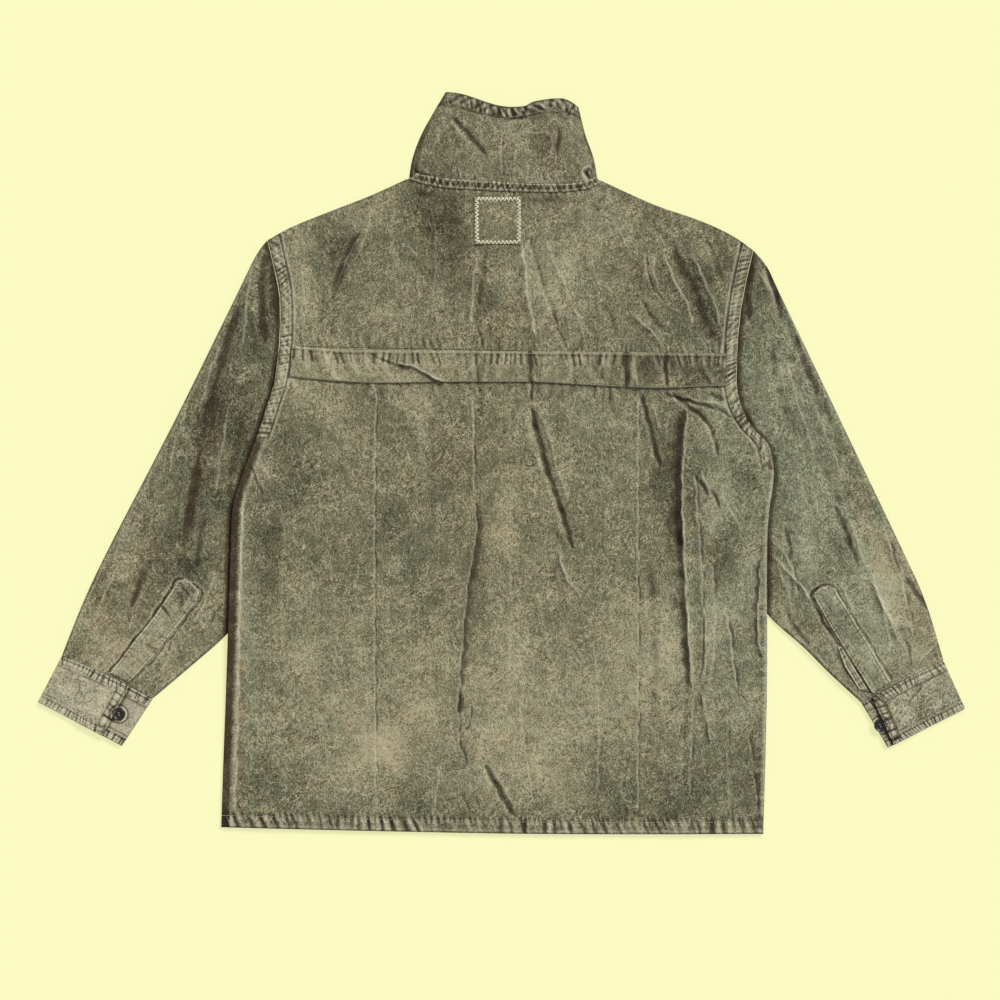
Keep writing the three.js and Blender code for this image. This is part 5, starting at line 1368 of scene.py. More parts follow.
@dataclass
class Collar:
    """Stand collar: one strip from the centre front round the back, pressed flat."""

    height: float = 3.9
    puff: float = 2.2
    width: float = 200.0
    rim_share: float = 0.855
    rim_rise: float = 0.8
    back_spans: int = 150
    front_spans: int = 60
    rows: int = 64
    grids: dict[str, Array] = field(default_factory=dict)

    def build(self) -> Piece:
        """Make the wound strip; its ends meet at the centre front, under the back of the neck."""
        vs = np.linspace(0, 1, self.rows + 1)
        sides, top = (edge(COLLAR_LEFT), edge(COLLAR_RIGHT)), edge(COLLAR_TOP)
        ends = [side(np.array(0.0)) for side in sides]

        def back_base(shares: Array) -> Array:
            """Lower edge of the back half, just clear of the yoke."""
            across = mix(ends[0][0], ends[1][0], shares)
            points = edge(BACK_NECK, 0, 2 * SEAM)((across + 112) / 228)
            points[shares <= 0], points[shares >= 1] = ends
            return points

        def front_base(shares: Array) -> Array:
            """Lower edge of the front half, along the front neckline."""
            points = front_neck(shares, SEAM)
            points[shares <= 0], points[shares >= 1] = ends
            return points

        back_us = np.linspace(0.012, 0.988, self.back_spans + 1)
        back = patch_between(back_base, top, *sides, back_us, vs)
        relief = settled(back, 31, COLLAR_CREASES, COLLAR_FOLDS, COLLAR_BLOTCHES, COLLAR_PUCKERS)
        v = np.broadcast_to(vs[:, None], back.shape[:2])
        loose = np.maximum(0, self.puff + 0.4 * swell(2 * back) + relief.height)
        rim = smoothstep(self.rim_share, self.rim_share + 0.015, v)
        held = smoothstep(0.0, 0.22, v) * mix(1, 0.5, smoothstep(0.85, 1, v))
        z = self.height + loose * held + self.rim_rise * rim
        from_side = np.minimum(back_us, 1 - back_us)[None, :]
        z = mix(self.height * 0.62, z, smoothstep(0, 0.03, from_side) ** 0.5)
        relief.tone -= 0.16 * rim
        # Painted shade along the rim's seam, at the top edge and where the ends turn down.
        relief.grime_and_shade += 0.55 * bell(v - self.rim_share + 0.01, 0.014) + 0.5 * smoothstep(0.975, 1, v)
        relief.worn += 0.3 * bell(v - 0.955, 0.014)
        relief.grime_and_shade += 0.45 * (1 - smoothstep(3.0, 5.0, from_side * self.width))
        self.grids["back"] = raised(back, z)
        half_slit, spans = 0.006, self.front_spans // 2
        left_us = np.linspace(0.5 - half_slit, 0.01, spans)
        right_us = np.linspace(0.99, 0.5 + half_slit, spans)
        front_top = edge(COLLAR_TOP, 0, -3)
        fronts = [patch_between(front_base, front_top, *sides, us, vs) for us in (left_us, right_us)]
        turns = [side(vs)[:, None] for side in sides]

        def section(inner: bool) -> Array:
            """Points round the strip, on its outer or its inner face."""
            wall = CLOTH if inner else 0.0
            inset = np.array([1.3 if inner else 0.0, 0.0])
            parts = [
                (fronts[0], wall), (turns[0] + inset, self.height / 2), (back, z - wall),
                (turns[1] - inset, self.height / 2), (fronts[1], wall),
            ]
            return np.concatenate([raised(points, height) for points, height in parts], axis=1)

        outer, inner = section(False), section(True)
        before, after = fronts[0].shape[1] + 1, fronts[1].shape[1] + 1
        for label in FINISH:
            setattr(relief, label, np.pad(getattr(relief, label), ((0, 0), (before, after)), mode="edge"))
        return ClothMesh("collar_canvas", outer, inner, relief).build()

    def tape(self, body: Body) -> Piece:
        """Narrow strip that covers the neck seam."""
        us, vs = np.linspace(0, 1, 184 + 1), np.linspace(0, 1, 8 + 1)
        xy = mix(edge(TAPE_UPPER)(us)[None], edge(TAPE_LOWER)(us)[None], vs[:, None, None])
        relief = settled(xy, 41, TAPE_PUCKERS)
        base = Ground(body.grids["yoke"], self.grids["back"]).rest(xy, 4, 0.15)
        v = np.broadcast_to(vs[:, None], xy.shape[:2])
        height = base + STRIP_CLOTH + 0.5 * smoothstep(0, 0.15, v) * smoothstep(1, 0.85, v) + relief.height
        relief.tone -= 0.14
        relief.worn += 0.6 * (bell(v - 0.12, 0.1) + bell(v - 0.88, 0.1))
        relief.grime_and_shade += 0.5 * (1 - smoothstep(0, 0.1, v)) + 0.3 * bell(v - 0.5, 0.2)
        over = raised(xy, height)
        self.grids["tape"] = over
        return ClothMesh("neck_seam_strip", over, strip_floor(over, base), relief, 4).build()

    def patch(self, body: Body) -> Piece:
        """Square patch below the neck, held by its zigzag."""
        us, vs = np.linspace(0, 1, 44 + 1), np.linspace(0, 1, 44 + 1)
        x, y = np.meshgrid(mix(PATCH_LEFT, PATCH_RIGHT, us), mix(PATCH_TOP, PATCH_BOTTOM, vs))
        xy = np.stack([x, y], axis=-1)
        relief = settled(xy, 43, PATCH_CREASES)
        relief.height *= 0.5
        base = Ground(body.grids["yoke"]).rest(xy, 4, 0.15)
        rim = np.minimum.reduce([x - PATCH_LEFT, PATCH_RIGHT - x, PATCH_TOP - y, y - PATCH_BOTTOM])
        height = base + STRIP_CLOTH + np.maximum(-0.3, relief.height) - 0.35 * bell(rim - 3.5, 2.0)
        relief.worn += 0.35 * (1 - smoothstep(0.4, 2.0, rim))
        relief.grime_and_shade += 0.2 * bell(rim - 8.0, 2.0)
        over = raised(xy, height)
        self.grids["patch"] = over
        return ClothMesh("neck_patch_canvas", over, strip_floor(over, base), relief, 4).build()


@dataclass(frozen=True)
class StripRow:
    """Cross section of a narrow strip on a sleeve, from its left edge to its right one."""

    left: tuple[float, float]
    right: tuple[float, float]


@dataclass
class Strip:
    """Narrow strip sewn flat on a sleeve, such as the pointed facing over its slit."""

    name: str
    rows: Sequence[StripRow]
    creases: Sequence[Crease | Blotch] = ()
    edge_rows: float = 2.6  # how far in the sewing is
    rib_middle: float = 4.5
    spans: int = 20

    def lines(self) -> tuple[Table, Table]:
        """Left and right edges of the strip."""
        return tuple(row.left for row in self.rows), tuple(row.right for row in self.rows)

    def plan(self) -> Array:
        """Grid of points over the strip, straight between its cross sections."""
        left, right = (np.array(line, float) for line in self.lines())
        middle = (left + right) / 2
        walked = np.concatenate([[0.0], np.cumsum(np.hypot(*np.diff(middle, axis=0).T))])
        rows = 4 * round(walked[-1] / 1.4 / 4)
        at = np.linspace(0, walked[-1], rows + 1)
        start, stop = (
            np.stack([np.interp(at, walked, line[:, k]) for k in (0, 1)], axis=-1) for line in (left, right)
        )
        us = np.linspace(0, 1, self.spans + 1)
        return mix(start[:, None], stop[:, None], us[None, :, None])

    def build(self, sleeve: Array, seed: int) -> tuple[Piece, Array]:
        """Lay the strip on a sleeve and finish its turned edges.

        Args:
            sleeve: face side of the sleeve.
            seed: picks the small creases.

        Returns:
            The mesh object and its face side.
        """
        xy = self.plan()
        relief = settled(xy, seed, self.creases)
        for number, line in enumerate(self.lines()):
            path = shift_line(line[::-1], -self.rib_middle if number else self.rib_middle)
            Puckers(path, 5.5, 5.0, 0.5, seed + 20 + number, 0.5, 0.35).lay(xy, relief)
        base = Ground(sleeve).rest(xy, 4, 0.1)
        left, right = xy[:, :1], xy[:, -1:]
        end = np.linalg.norm(xy - xy[-1:, :].mean(axis=1, keepdims=True), axis=-1)
        side = np.minimum(np.linalg.norm(xy - left, axis=-1), np.linalg.norm(xy - right, axis=-1))
        rim = np.minimum(side, end)
        creased = np.maximum(-0.3, relief.height) - 0.3 * bell(rim - self.edge_rows, 1.2)
        height = base + STRIP_CLOTH + 0.3 + creased
        # Painted highlight along the turned edges, and painted shade at their very rim, where the strip
        # steps down to the sleeve; darker along the sewing.
        relief.worn += 1.5 * bell(rim - 1.3, 0.9) + 0.3 * bell(rim - self.edge_rows - 2, 1.0)
        relief.grime_and_shade += 0.35 * bell(rim - self.edge_rows, 1.0) + 0.4 * (1 - smoothstep(0, 0.8, rim))
        over = raised(xy, height)
        return ClothMesh(self.name, over, strip_floor(over, base), relief, 4).build(), over


@dataclass
class Sleeve:
    """Sleeve: a tube pressed flat, its inner edge tucked under the body's side."""

    side: Side
    outer_edge: Table
    inner_edge: Table
    cuff_seam: Table
    armhole: Table
    body_side: Table
    creases: Sequence[Crease]
    blotches: Sequence[Blotch]
    puckers: Sequence[Puckers]
    height: float = 3.4
    edge_width: float = 3.0
    puff: float = 2.4
    underarm_share: float = 0.2
    end_bow: float = 0.25
    rows: int = 280
    spans: int = 104
    over: Array | None = None

    def place(self, u: Array, v: Array) -> Array:
        """Points of the flat sleeve, u across from its outer edge and v down from the armhole."""
        sign = self.side.sign
        upper = edge(self.armhole, sign * ARMHOLE_SEAM)
        lower = edge(self.body_side, sign * ARMHOLE_SEAM)
        cap = joined([upper, lambda shares: lower(shares * self.underarm_share)], [0, 0.53, 1])
        ends = cap(np.array([0.0, 1.0]))
        outer = edge([tuple(ends[0]), *self.outer_edge])
        inner = edge([tuple(ends[1]), *self.inner_edge])
        seam = edge(self.cuff_seam)
        points = mix(outer(v[:, 0])[:, None], inner(v[:, 0])[:, None], u[..., None])
        bows = (
            (cap(u.ravel()).reshape(*u.shape, 2), ends, v), (seam(u), seam(np.array([0.0, 1.0])), 1 - v),
        )
        for curve, (start, stop), away in bows:
            bow = curve - mix(start, stop, u[..., None])
            points = points + bow * np.maximum(0, 1 - away / self.end_bow)[..., None] ** 2
        return points

    def outside_body(self, xy: Array) -> Array:
        """How far points lie outside the body's edge."""
        table = np.array((*self.armhole, *self.body_side[1:]), float)[::-1]
        y = xy[..., 1]
        limit = np.abs(np.interp(y, table[:, 1], table[:, 0]))
        beyond = (y > table[-1, 1]) | (y < table[0, 1])
        return np.where(beyond, 100.0, np.abs(xy[..., 0]) - limit)

    def build(self) -> Piece:
        """Make the tube: a fine upper half, a coarse lower one on the table, and open ends."""
        vs = np.linspace(0, 1, self.rows + 1)[:, None]
        both = self.place(np.tile([0.0, 1.0], (self.rows + 1, 1)), np.repeat(vs, 2, axis=1))
        width = np.linalg.norm(both[:, 1] - both[:, 0], axis=-1)[:, None]
        rounded = np.array([0.0, 0.35, 1.0, 1.9, self.edge_width])
        middle = np.linspace(0, 1, self.spans + 1)[None, 1:-1]
        start, stop = rounded[-1] / width, 1 - rounded[-1] / width
        ends = rounded[None] / width, 1 - rounded[None, ::-1] / width
        u = np.concatenate([ends[0], mix(start, stop, middle), ends[1]], axis=1)
        v = np.broadcast_to(vs, u.shape)
        xy = self.place(u, v)
        relief = settled(xy, 51 if self.side is Side.LEFT else 57, self.creases, self.blotches, self.puckers)
        outside = self.outside_body(xy)
        puff = smoothstep(1, 26, outside)
        seam_middle = np.array(self.cuff_seam[1])
        cuffward = smoothstep(0, 20, np.linalg.norm(xy - seam_middle, axis=-1) - 45)
        loose = np.maximum(0, self.puff + 0.5 * swell(xy) + relief.height)
        top = self.height + puff * mix(0.25, 1.0, cuffward) * loose
        inward = np.minimum(u, 1 - u) * width
        turn = np.sqrt(1 - (1 - np.clip(inward / self.edge_width, 0, 1)) ** 2)
        z = self.height / 2 + (top - self.height / 2) * turn
        # Painted shadow of the body's edge on the sleeve beside it, painted shade along the sleeve's outer
        # edges, and a pale line just inside them, partly painted highlight.
        relief.grime_and_shade += 0.75 * smoothstep(9, 0, outside) + 0.25 * smoothstep(26, 0, outside)
        relief.grime_and_shade += 0.45 * (1 - smoothstep(0.6, 2.4, inward)) * (outside > 20)
        relief.worn += 0.3 * bell(inward - 4.2, 1.4) * (outside > 20)
        self.over = raised(xy, z)
        step, edge_inset = 8, 1.0
        low_width = width[::step]
        rim, start = edge_inset / low_width, self.edge_width / low_width
        stop = 1 - start
        share = np.linspace(0, 1, 8)[None, 1:-1]
        low_u = np.concatenate([rim, start, mix(start, stop, share), stop, 1 - rim], axis=1)
        low_xy = self.place(low_u, np.broadcast_to(vs[::step], low_u.shape))
        low_z = np.zeros(low_u.shape)
        low_z[:, [0, -1]] = self.height / 2 * (1 - math.sqrt(1 - (1 - edge_inset / self.edge_width) ** 2))
        floor = raised(low_xy, low_z)
        name = f"sleeve_canvas_{self.side.value}"
        return ClothMesh(name, self.over, floor, relief, step, open_ends=True).build()


@dataclass
class Cuff:
    """Cuff: a strip wound flat round the wrist, its end lapped over its start."""

    side: Side
    outer_top: tuple[float, float]
    outer_bottom: tuple[float, float]
    inner_bottom: tuple[float, float]
    inner_top: tuple[float, float]
    seam_middle: tuple[float, float]
    lap_top: float
    lap_bottom: float
    creases: Sequence[Crease | Blotch] = ()
    underlap: float = 0.22
    depth: float = 60.0
    rows: int = 60
    columns: int = 96
    under_columns: int = 12
    underlap_columns: int = 48
    fold_level: float = 2.0
    middle_level: float = 2.2
    over_level: float = 4.4
    over: Array | None = None

    def place(self, u: Array, v: Array) -> Array:
        """Points of the flat cuff, u across from its outer edge and v down from its seam."""
        drop = SEAM + 0.2
        seam = edge((self.outer_top, self.seam_middle, self.inner_top), 0, -drop)
        corners = np.array(self.outer_bottom, float), np.array(self.inner_bottom, float)
        return mix(seam(u), mix(*corners, u[..., None]), v[..., None])

    def lap(self, v: Array) -> Array:
        """Share across at which the over-lap ends."""
        return mix(self.lap_top, self.lap_bottom, v)

    def build(self) -> Piece:
        """Make the wound strip: over-lap, outer fold, underside, inner fold and under-lap."""
        vs = np.linspace(0, 1, self.rows + 1)[:, None]
        lap = self.lap(vs)
        over_u = lap * np.linspace(1, 0.008, self.columns)[None]
        under_u = np.tile(np.linspace(0.03, 0.97, self.under_columns), (len(vs), 1))
        middle_u = 1 - (1 - lap + self.underlap - 0.03) * np.linspace(0.02, 1, self.underlap_columns)[None]
        u = np.concatenate([over_u, np.zeros_like(lap), under_u, np.ones_like(lap), middle_u], axis=1)
        v = np.broadcast_to(vs, u.shape)
        xy = self.place(u, v)
        counts = [self.columns, 1, self.under_columns, 1, self.underlap_columns]
        part = np.repeat(np.arange(len(counts)), counts)[None, :]
        facing = np.isin(part, (0, 4))
        relief = settled(xy, 61 if self.side is Side.LEFT else 67, self.creases)
        for ribs in self.ribs():
            ribs.lay(xy, relief)
        from_button = np.linalg.norm(xy - self.button_middle(), axis=-1)
        over_button = 3.1 * (1 - smoothstep(9.0, 15.0, from_button))
        on_underlap = smoothstep(self.underlap + 0.16, self.underlap + 0.02, lap - u)
        over_z = mix(self.middle_level, self.over_level, on_underlap) + over_button
        levels = [over_z, self.fold_level, 0.0, self.fold_level, self.middle_level]
        level = np.select([part == number for number in range(len(counts))], levels)
        from_lap = np.where(part == 0, (lap - u) * 100, 99.0)
        from_top, from_bottom = v * self.depth, (1 - v) * self.depth
        rim = np.minimum.reduce([from_lap, from_top, from_bottom])
        turned = 0.45 * (1 - smoothstep(9.0, 10.5, np.minimum(from_lap, from_bottom + 2)))
        sewn_at = ((from_lap, 2.6), (from_lap, 9.6), (from_top, 3), (from_bottom, 7.5))
        rows = sum(bell(away - place, 1.1) for away, place in sewn_at)
        grown = np.maximum(-0.2, 0.45 * relief.height) + turned - 0.3 * np.minimum(rows, 1)
        outer_z = level + facing * (CUFF_CLOTH + grown) + np.where(part == 4, 0.1, 0.0)
        inner_z = level + np.where(part == 2, CUFF_CLOTH, 0.0)
        # Pale lines along the rims are wear with painted highlight where the cloth turns; the rims' very
        # edge is darkened with painted shade, and it is darker along the sewing rows.
        relief.worn += facing * (0.6 * bell(rim - 1.2, 1.1) + 0.6 * bell(rim - 5.8, 1.9))
        relief.grime_and_shade += facing * (0.6 * np.minimum(rows, 1) + 0.45 * (1 - smoothstep(0.0, 0.8, rim)))
        relief.grime_and_shade += facing * 0.42 * bell(rim - 11.8, 1.3)
        relief.worn += facing * 0.75 * smoothstep(0.7, 1.4, crumple(xy, 11.0, 91)) * smoothstep(12, 16, rim)
        # Painted shadow of the lapped end on the under-lap; the buttonhole's pale ring, with painted shadow
        # inside and outside it.
        relief.grime_and_shade += 0.6 * (part == 4) * smoothstep(0.05, 0.0, u - lap)
        relief.worn += 2.2 * bell(from_button - 8.6, 1.0) * facing
        relief.grime_and_shade += 0.75 * (bell(from_button - 10.8, 0.9) + bell(from_button - 6.4, 0.9)) * facing
        self.over = raised(xy, outer_z)
        inner = raised(self.place(np.clip(u, 0.02, 0.98), v), inner_z)
        return ClothMesh(f"cuff_canvas_{self.side.value}", self.over, inner, relief).build()

    def ribs(self) -> tuple[Puckers, ...]:
        """Fine ribs along the seam, the lower edge and the lapped end."""
        shares = np.linspace(0, 1, 9)
        seed = 71 if self.side is Side.LEFT else 77
        lines = [as_table(self.place(shares, np.full(9, v))) for v in (0.085, 0.93)]
        lines.append(as_table(self.place(self.lap(shares) - 0.055, shares)))
        return tuple(
            Puckers(line, reach, pitch, 1.0, seed + k, 1.3, 1.1, slant=0.12)
            for k, (line, reach, pitch) in enumerate(zip(lines, (7.0, 6.0, 7.5), (4.2, 4.2, 7.5)))
        )

    def button_middle(self) -> Array:
        """Middle of the button in the plane."""
        low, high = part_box(f"button_{self.side.value}")
        return (np.array(low[:2]) + np.array(high[:2])) / 2 / MM

    def face(self) -> list[Array]:
        """The parts of the cuff that face up, for what is sewn on them."""
        return [self.over[:, : self.columns], self.over[:, -self.underlap_columns :]]

    def stitch_rows(self) -> list[StitchRow]:
        """Topstitching along the seam, the lower edge and the lapped end."""
        rows = []
        shares = np.linspace(0.02, 1.0, 7)
        for v in (0.05, 0.125, 0.87):
            u = shares * float(self.lap(np.array(v)))
            rows.append(StitchRow(as_table(self.place(u, np.full(7, v))), *FINE_STITCH))
        for inward in (0.026, 0.096):
            v = np.linspace(0.04, 0.96, 7)
            rows.append(StitchRow(as_table(self.place(self.lap(v) - inward, v)), *FINE_STITCH))
        return rows


@dataclass
class Button:
    """Four-hole button with a rounded rim and a dished middle."""

    side: Side
    hole_radius: float = 0.95
    hole_spacing: float = 1.9
    sides: int = 56
    hole_sides: int = 20
    dish: float = 1.66

    def profile(self) -> Table:
        """Half section from the middle of the back round the rim to the middle of the dish."""
        return (
            (0.0, 0.0), (6.8, 0.0), (7.3, 0.25), (7.5, 0.8), (7.5, 1.5), (7.35, 2.0), (6.95, 2.32),
            (6.4, 2.4), (5.9, 2.25), (5.55, 1.95), (5.2, 1.75), (4.6, self.dish), (0.0, self.dish),
        )

    def middle(self) -> Array:
        """Middle of the button's back."""
        low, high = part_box(f"button_{self.side.value}")
        return np.array([(low[0] + high[0]) / 2, (low[1] + high[1]) / 2, low[2]]) / MM

    def holes(self) -> Array:
        """Middles of the four holes in the plane."""
        turns = math.pi / 4 + np.arange(4) * math.pi / 2 + 0.3
        return self.middle()[:2] + self.hole_spacing * np.stack([np.cos(turns), np.sin(turns)], axis=-1)

    def disc(self, name: str, profile: Table, middle: Array, sides: int) -> Piece:
        """Solid turned from a half section whose first and last points are on its axis."""
        turns = np.arange(sides) * 2 * math.pi / sides
        spokes = np.stack([np.cos(turns), np.sin(turns)], axis=-1)
        rings = [np.column_stack([spokes * r, np.full(sides, z)]) for r, z in profile[1:-1]]
        points = (np.concatenate([*rings, [[0, 0, profile[0][1]]], [[0, 0, profile[-1][1]]]]) + middle) * MM
        one = np.arange(len(rings) * sides).reshape(len(rings), sides)
        beyond = np.roll(one, -1, axis=1)
        faces = np.stack([one[:-1], beyond[:-1], beyond[1:], one[1:]], axis=-1).reshape(-1, 4).tolist()
        base, top = len(rings) * sides, len(rings) * sides + 1
        faces += [[int(beyond[0, k]), int(one[0, k]), base] for k in range(sides)]
        faces += [[int(one[-1, k]), int(beyond[-1, k]), top] for k in range(sides)]
        mesh = bpy.data.meshes.new(name)
        mesh.from_pydata(points.tolist(), [], faces)
        return placed(name, mesh)

    def build(self) -> Piece:
        """Turn the button and drill its holes."""
        middle = self.middle()
        name = f"button_plastic_{self.side.value}"
        piece = self.disc(name, self.profile(), middle, self.sides)
        drill_profile = ((0, -3), (self.hole_radius, -3), (self.hole_radius, 6), (0, 6))
        places = [np.array([x, y, middle[2]]) for x, y in self.holes()]
        drills = [self.disc("drill", drill_profile, place, self.hole_sides) for place in places]
        for drill in drills:
            cut = piece.modifiers.new("hole", "BOOLEAN")
            cut.object, cut.operation, cut.solver = drill, "DIFFERENCE", "EXACT"
        graph = bpy.context.evaluated_depsgraph_get()
        drilled = bpy.data.meshes.new_from_object(piece.evaluated_get(graph))
        piece.modifiers.clear()
        piece.data = drilled
        for drill in drills:
            bpy.data.objects.remove(drill)
        drilled.shade_smooth()
        drilled.set_sharp_from_angle(angle=math.radians(40))
        return piece

    def thread(self) -> Piece:
        """Thread through the holes, two strands side by side."""
        holes, middle = self.holes(), self.middle()
        x, y = np.meshgrid(middle[0] + np.array([-9.0, 9.0]), middle[1] + np.array([9.0, -9.0]))
        dish = np.stack([x, y, np.full_like(x, middle[2] + self.dish)], axis=-1)
        rows = []
        for start, stop in ((0, 1), (3, 2)):
            path = (tuple(holes[start]), tuple((holes[start] + holes[stop]) / 2), tuple(holes[stop]))
            rows.append(StitchRow(path, 4.0, 4.0, 0.5, rise=0.1))
        return sewn(f"button_thread_{self.side.value}", rows, Ground(dish))


def linear(colour: str) -> tuple[float, float, float, float]:
    """Linear colour of an sRGB hex value."""
    parts = [int(colour[k : k + 2], 16) / 255 for k in (1, 3, 5)]
    return (*((c / 12.92 if c <= 0.04045 else ((c + 0.055) / 1.055) ** 2.4) for c in parts), 1.0)


def add(
    tree: Tree, kind: str, inputs: dict[str | int, Any] | None = None, **settings: Any
) -> bpy.types.Node:
    """Add a node with its settings and links.

    Args:
        tree: node tree that it goes in.
        kind: the node's type.
        inputs: for each socket, its value or the output that it is linked to.
        **settings: the node's own properties.

    Returns:
        The node.
    """
    node = tree.nodes.new(kind)
    for name, value in settings.items():
        setattr(node, name, value)
    for key, value in (inputs or {}).items():
        if isinstance(value, Socket):
            tree.links.new(value, node.inputs[key])
        else:
            node.inputs[key].default_value = value
    return node


def emptied(owner: Any) -> Tree:
    """Node tree of a material or a world, with nothing in it."""
    owner.use_nodes = True
    owner.node_tree.nodes.clear()
    return owner.node_tree


def calculate(
    tree: Tree, operation: str, *values: Any, clamp: bool = False
) -> Socket:
    """Output of a calculation on values or other outputs."""
    inputs = dict(enumerate(values))
    return add(tree, "ShaderNodeMath", inputs, operation=operation, use_clamp=clamp).outputs[0]


def ramp(
    tree: Tree, value: Any, start: tuple[float, float], stop: tuple[float, float], kind: str = "LINEAR"
) -> Socket:
    """Output that goes from one value to another, each given after the input that it belongs to."""
    limits = {"From Min": start[0], "To Min": start[1], "From Max": stop[0], "To Max": stop[1]}
    inputs = {"Value": value, **limits}
    return add(tree, "ShaderNodeMapRange", inputs, interpolation_type=kind).outputs[0]


def noise(
    tree: Tree, place: Socket, size: float, detail: float, rough: float = 0.62
) -> Socket:
    """Soft random pattern of one size."""
    inputs = {"Vector": place, "Scale": per_metre(size), "Detail": detail, "Roughness": rough}
    return add(tree, "ShaderNodeTexNoise", inputs).outputs["Fac"]


def blend(
    tree: Tree, share: Any, first: Any, second: Any, kind: str = "MIX"
) -> Socket:
    """Colour a share of the way from the first to the second."""
    inputs = {0: share, 6: first, 7: second}
    return add(tree, "ShaderNodeMix", inputs, data_type="RGBA", blend_type=kind).outputs[2]


def bumped(
    tree: Tree, height: Socket, strength: float, distance: float
) -> Socket:
    """Normal of a surface with a pattern's relief."""
    inputs = {"Height": height, "Strength": strength, "Distance": distance}
    return add(tree, "ShaderNodeBump", inputs).outputs[0]


def covered(tree: Tree, **inputs: Any) -> None:
    """Finish a material with a surface of some inputs, their names written with underscores."""
    named = {name.replace("_", " "): value for name, value in inputs.items()}
    surface = add(tree, "ShaderNodeBsdfPrincipled", named)
    add(tree, "ShaderNodeOutputMaterial", {"Surface": surface.outputs[0]})


def per_metre(size: float) -> float:
    """Scale of a pattern whose features are `size` millimetres apart."""
    return 1000.0 / size


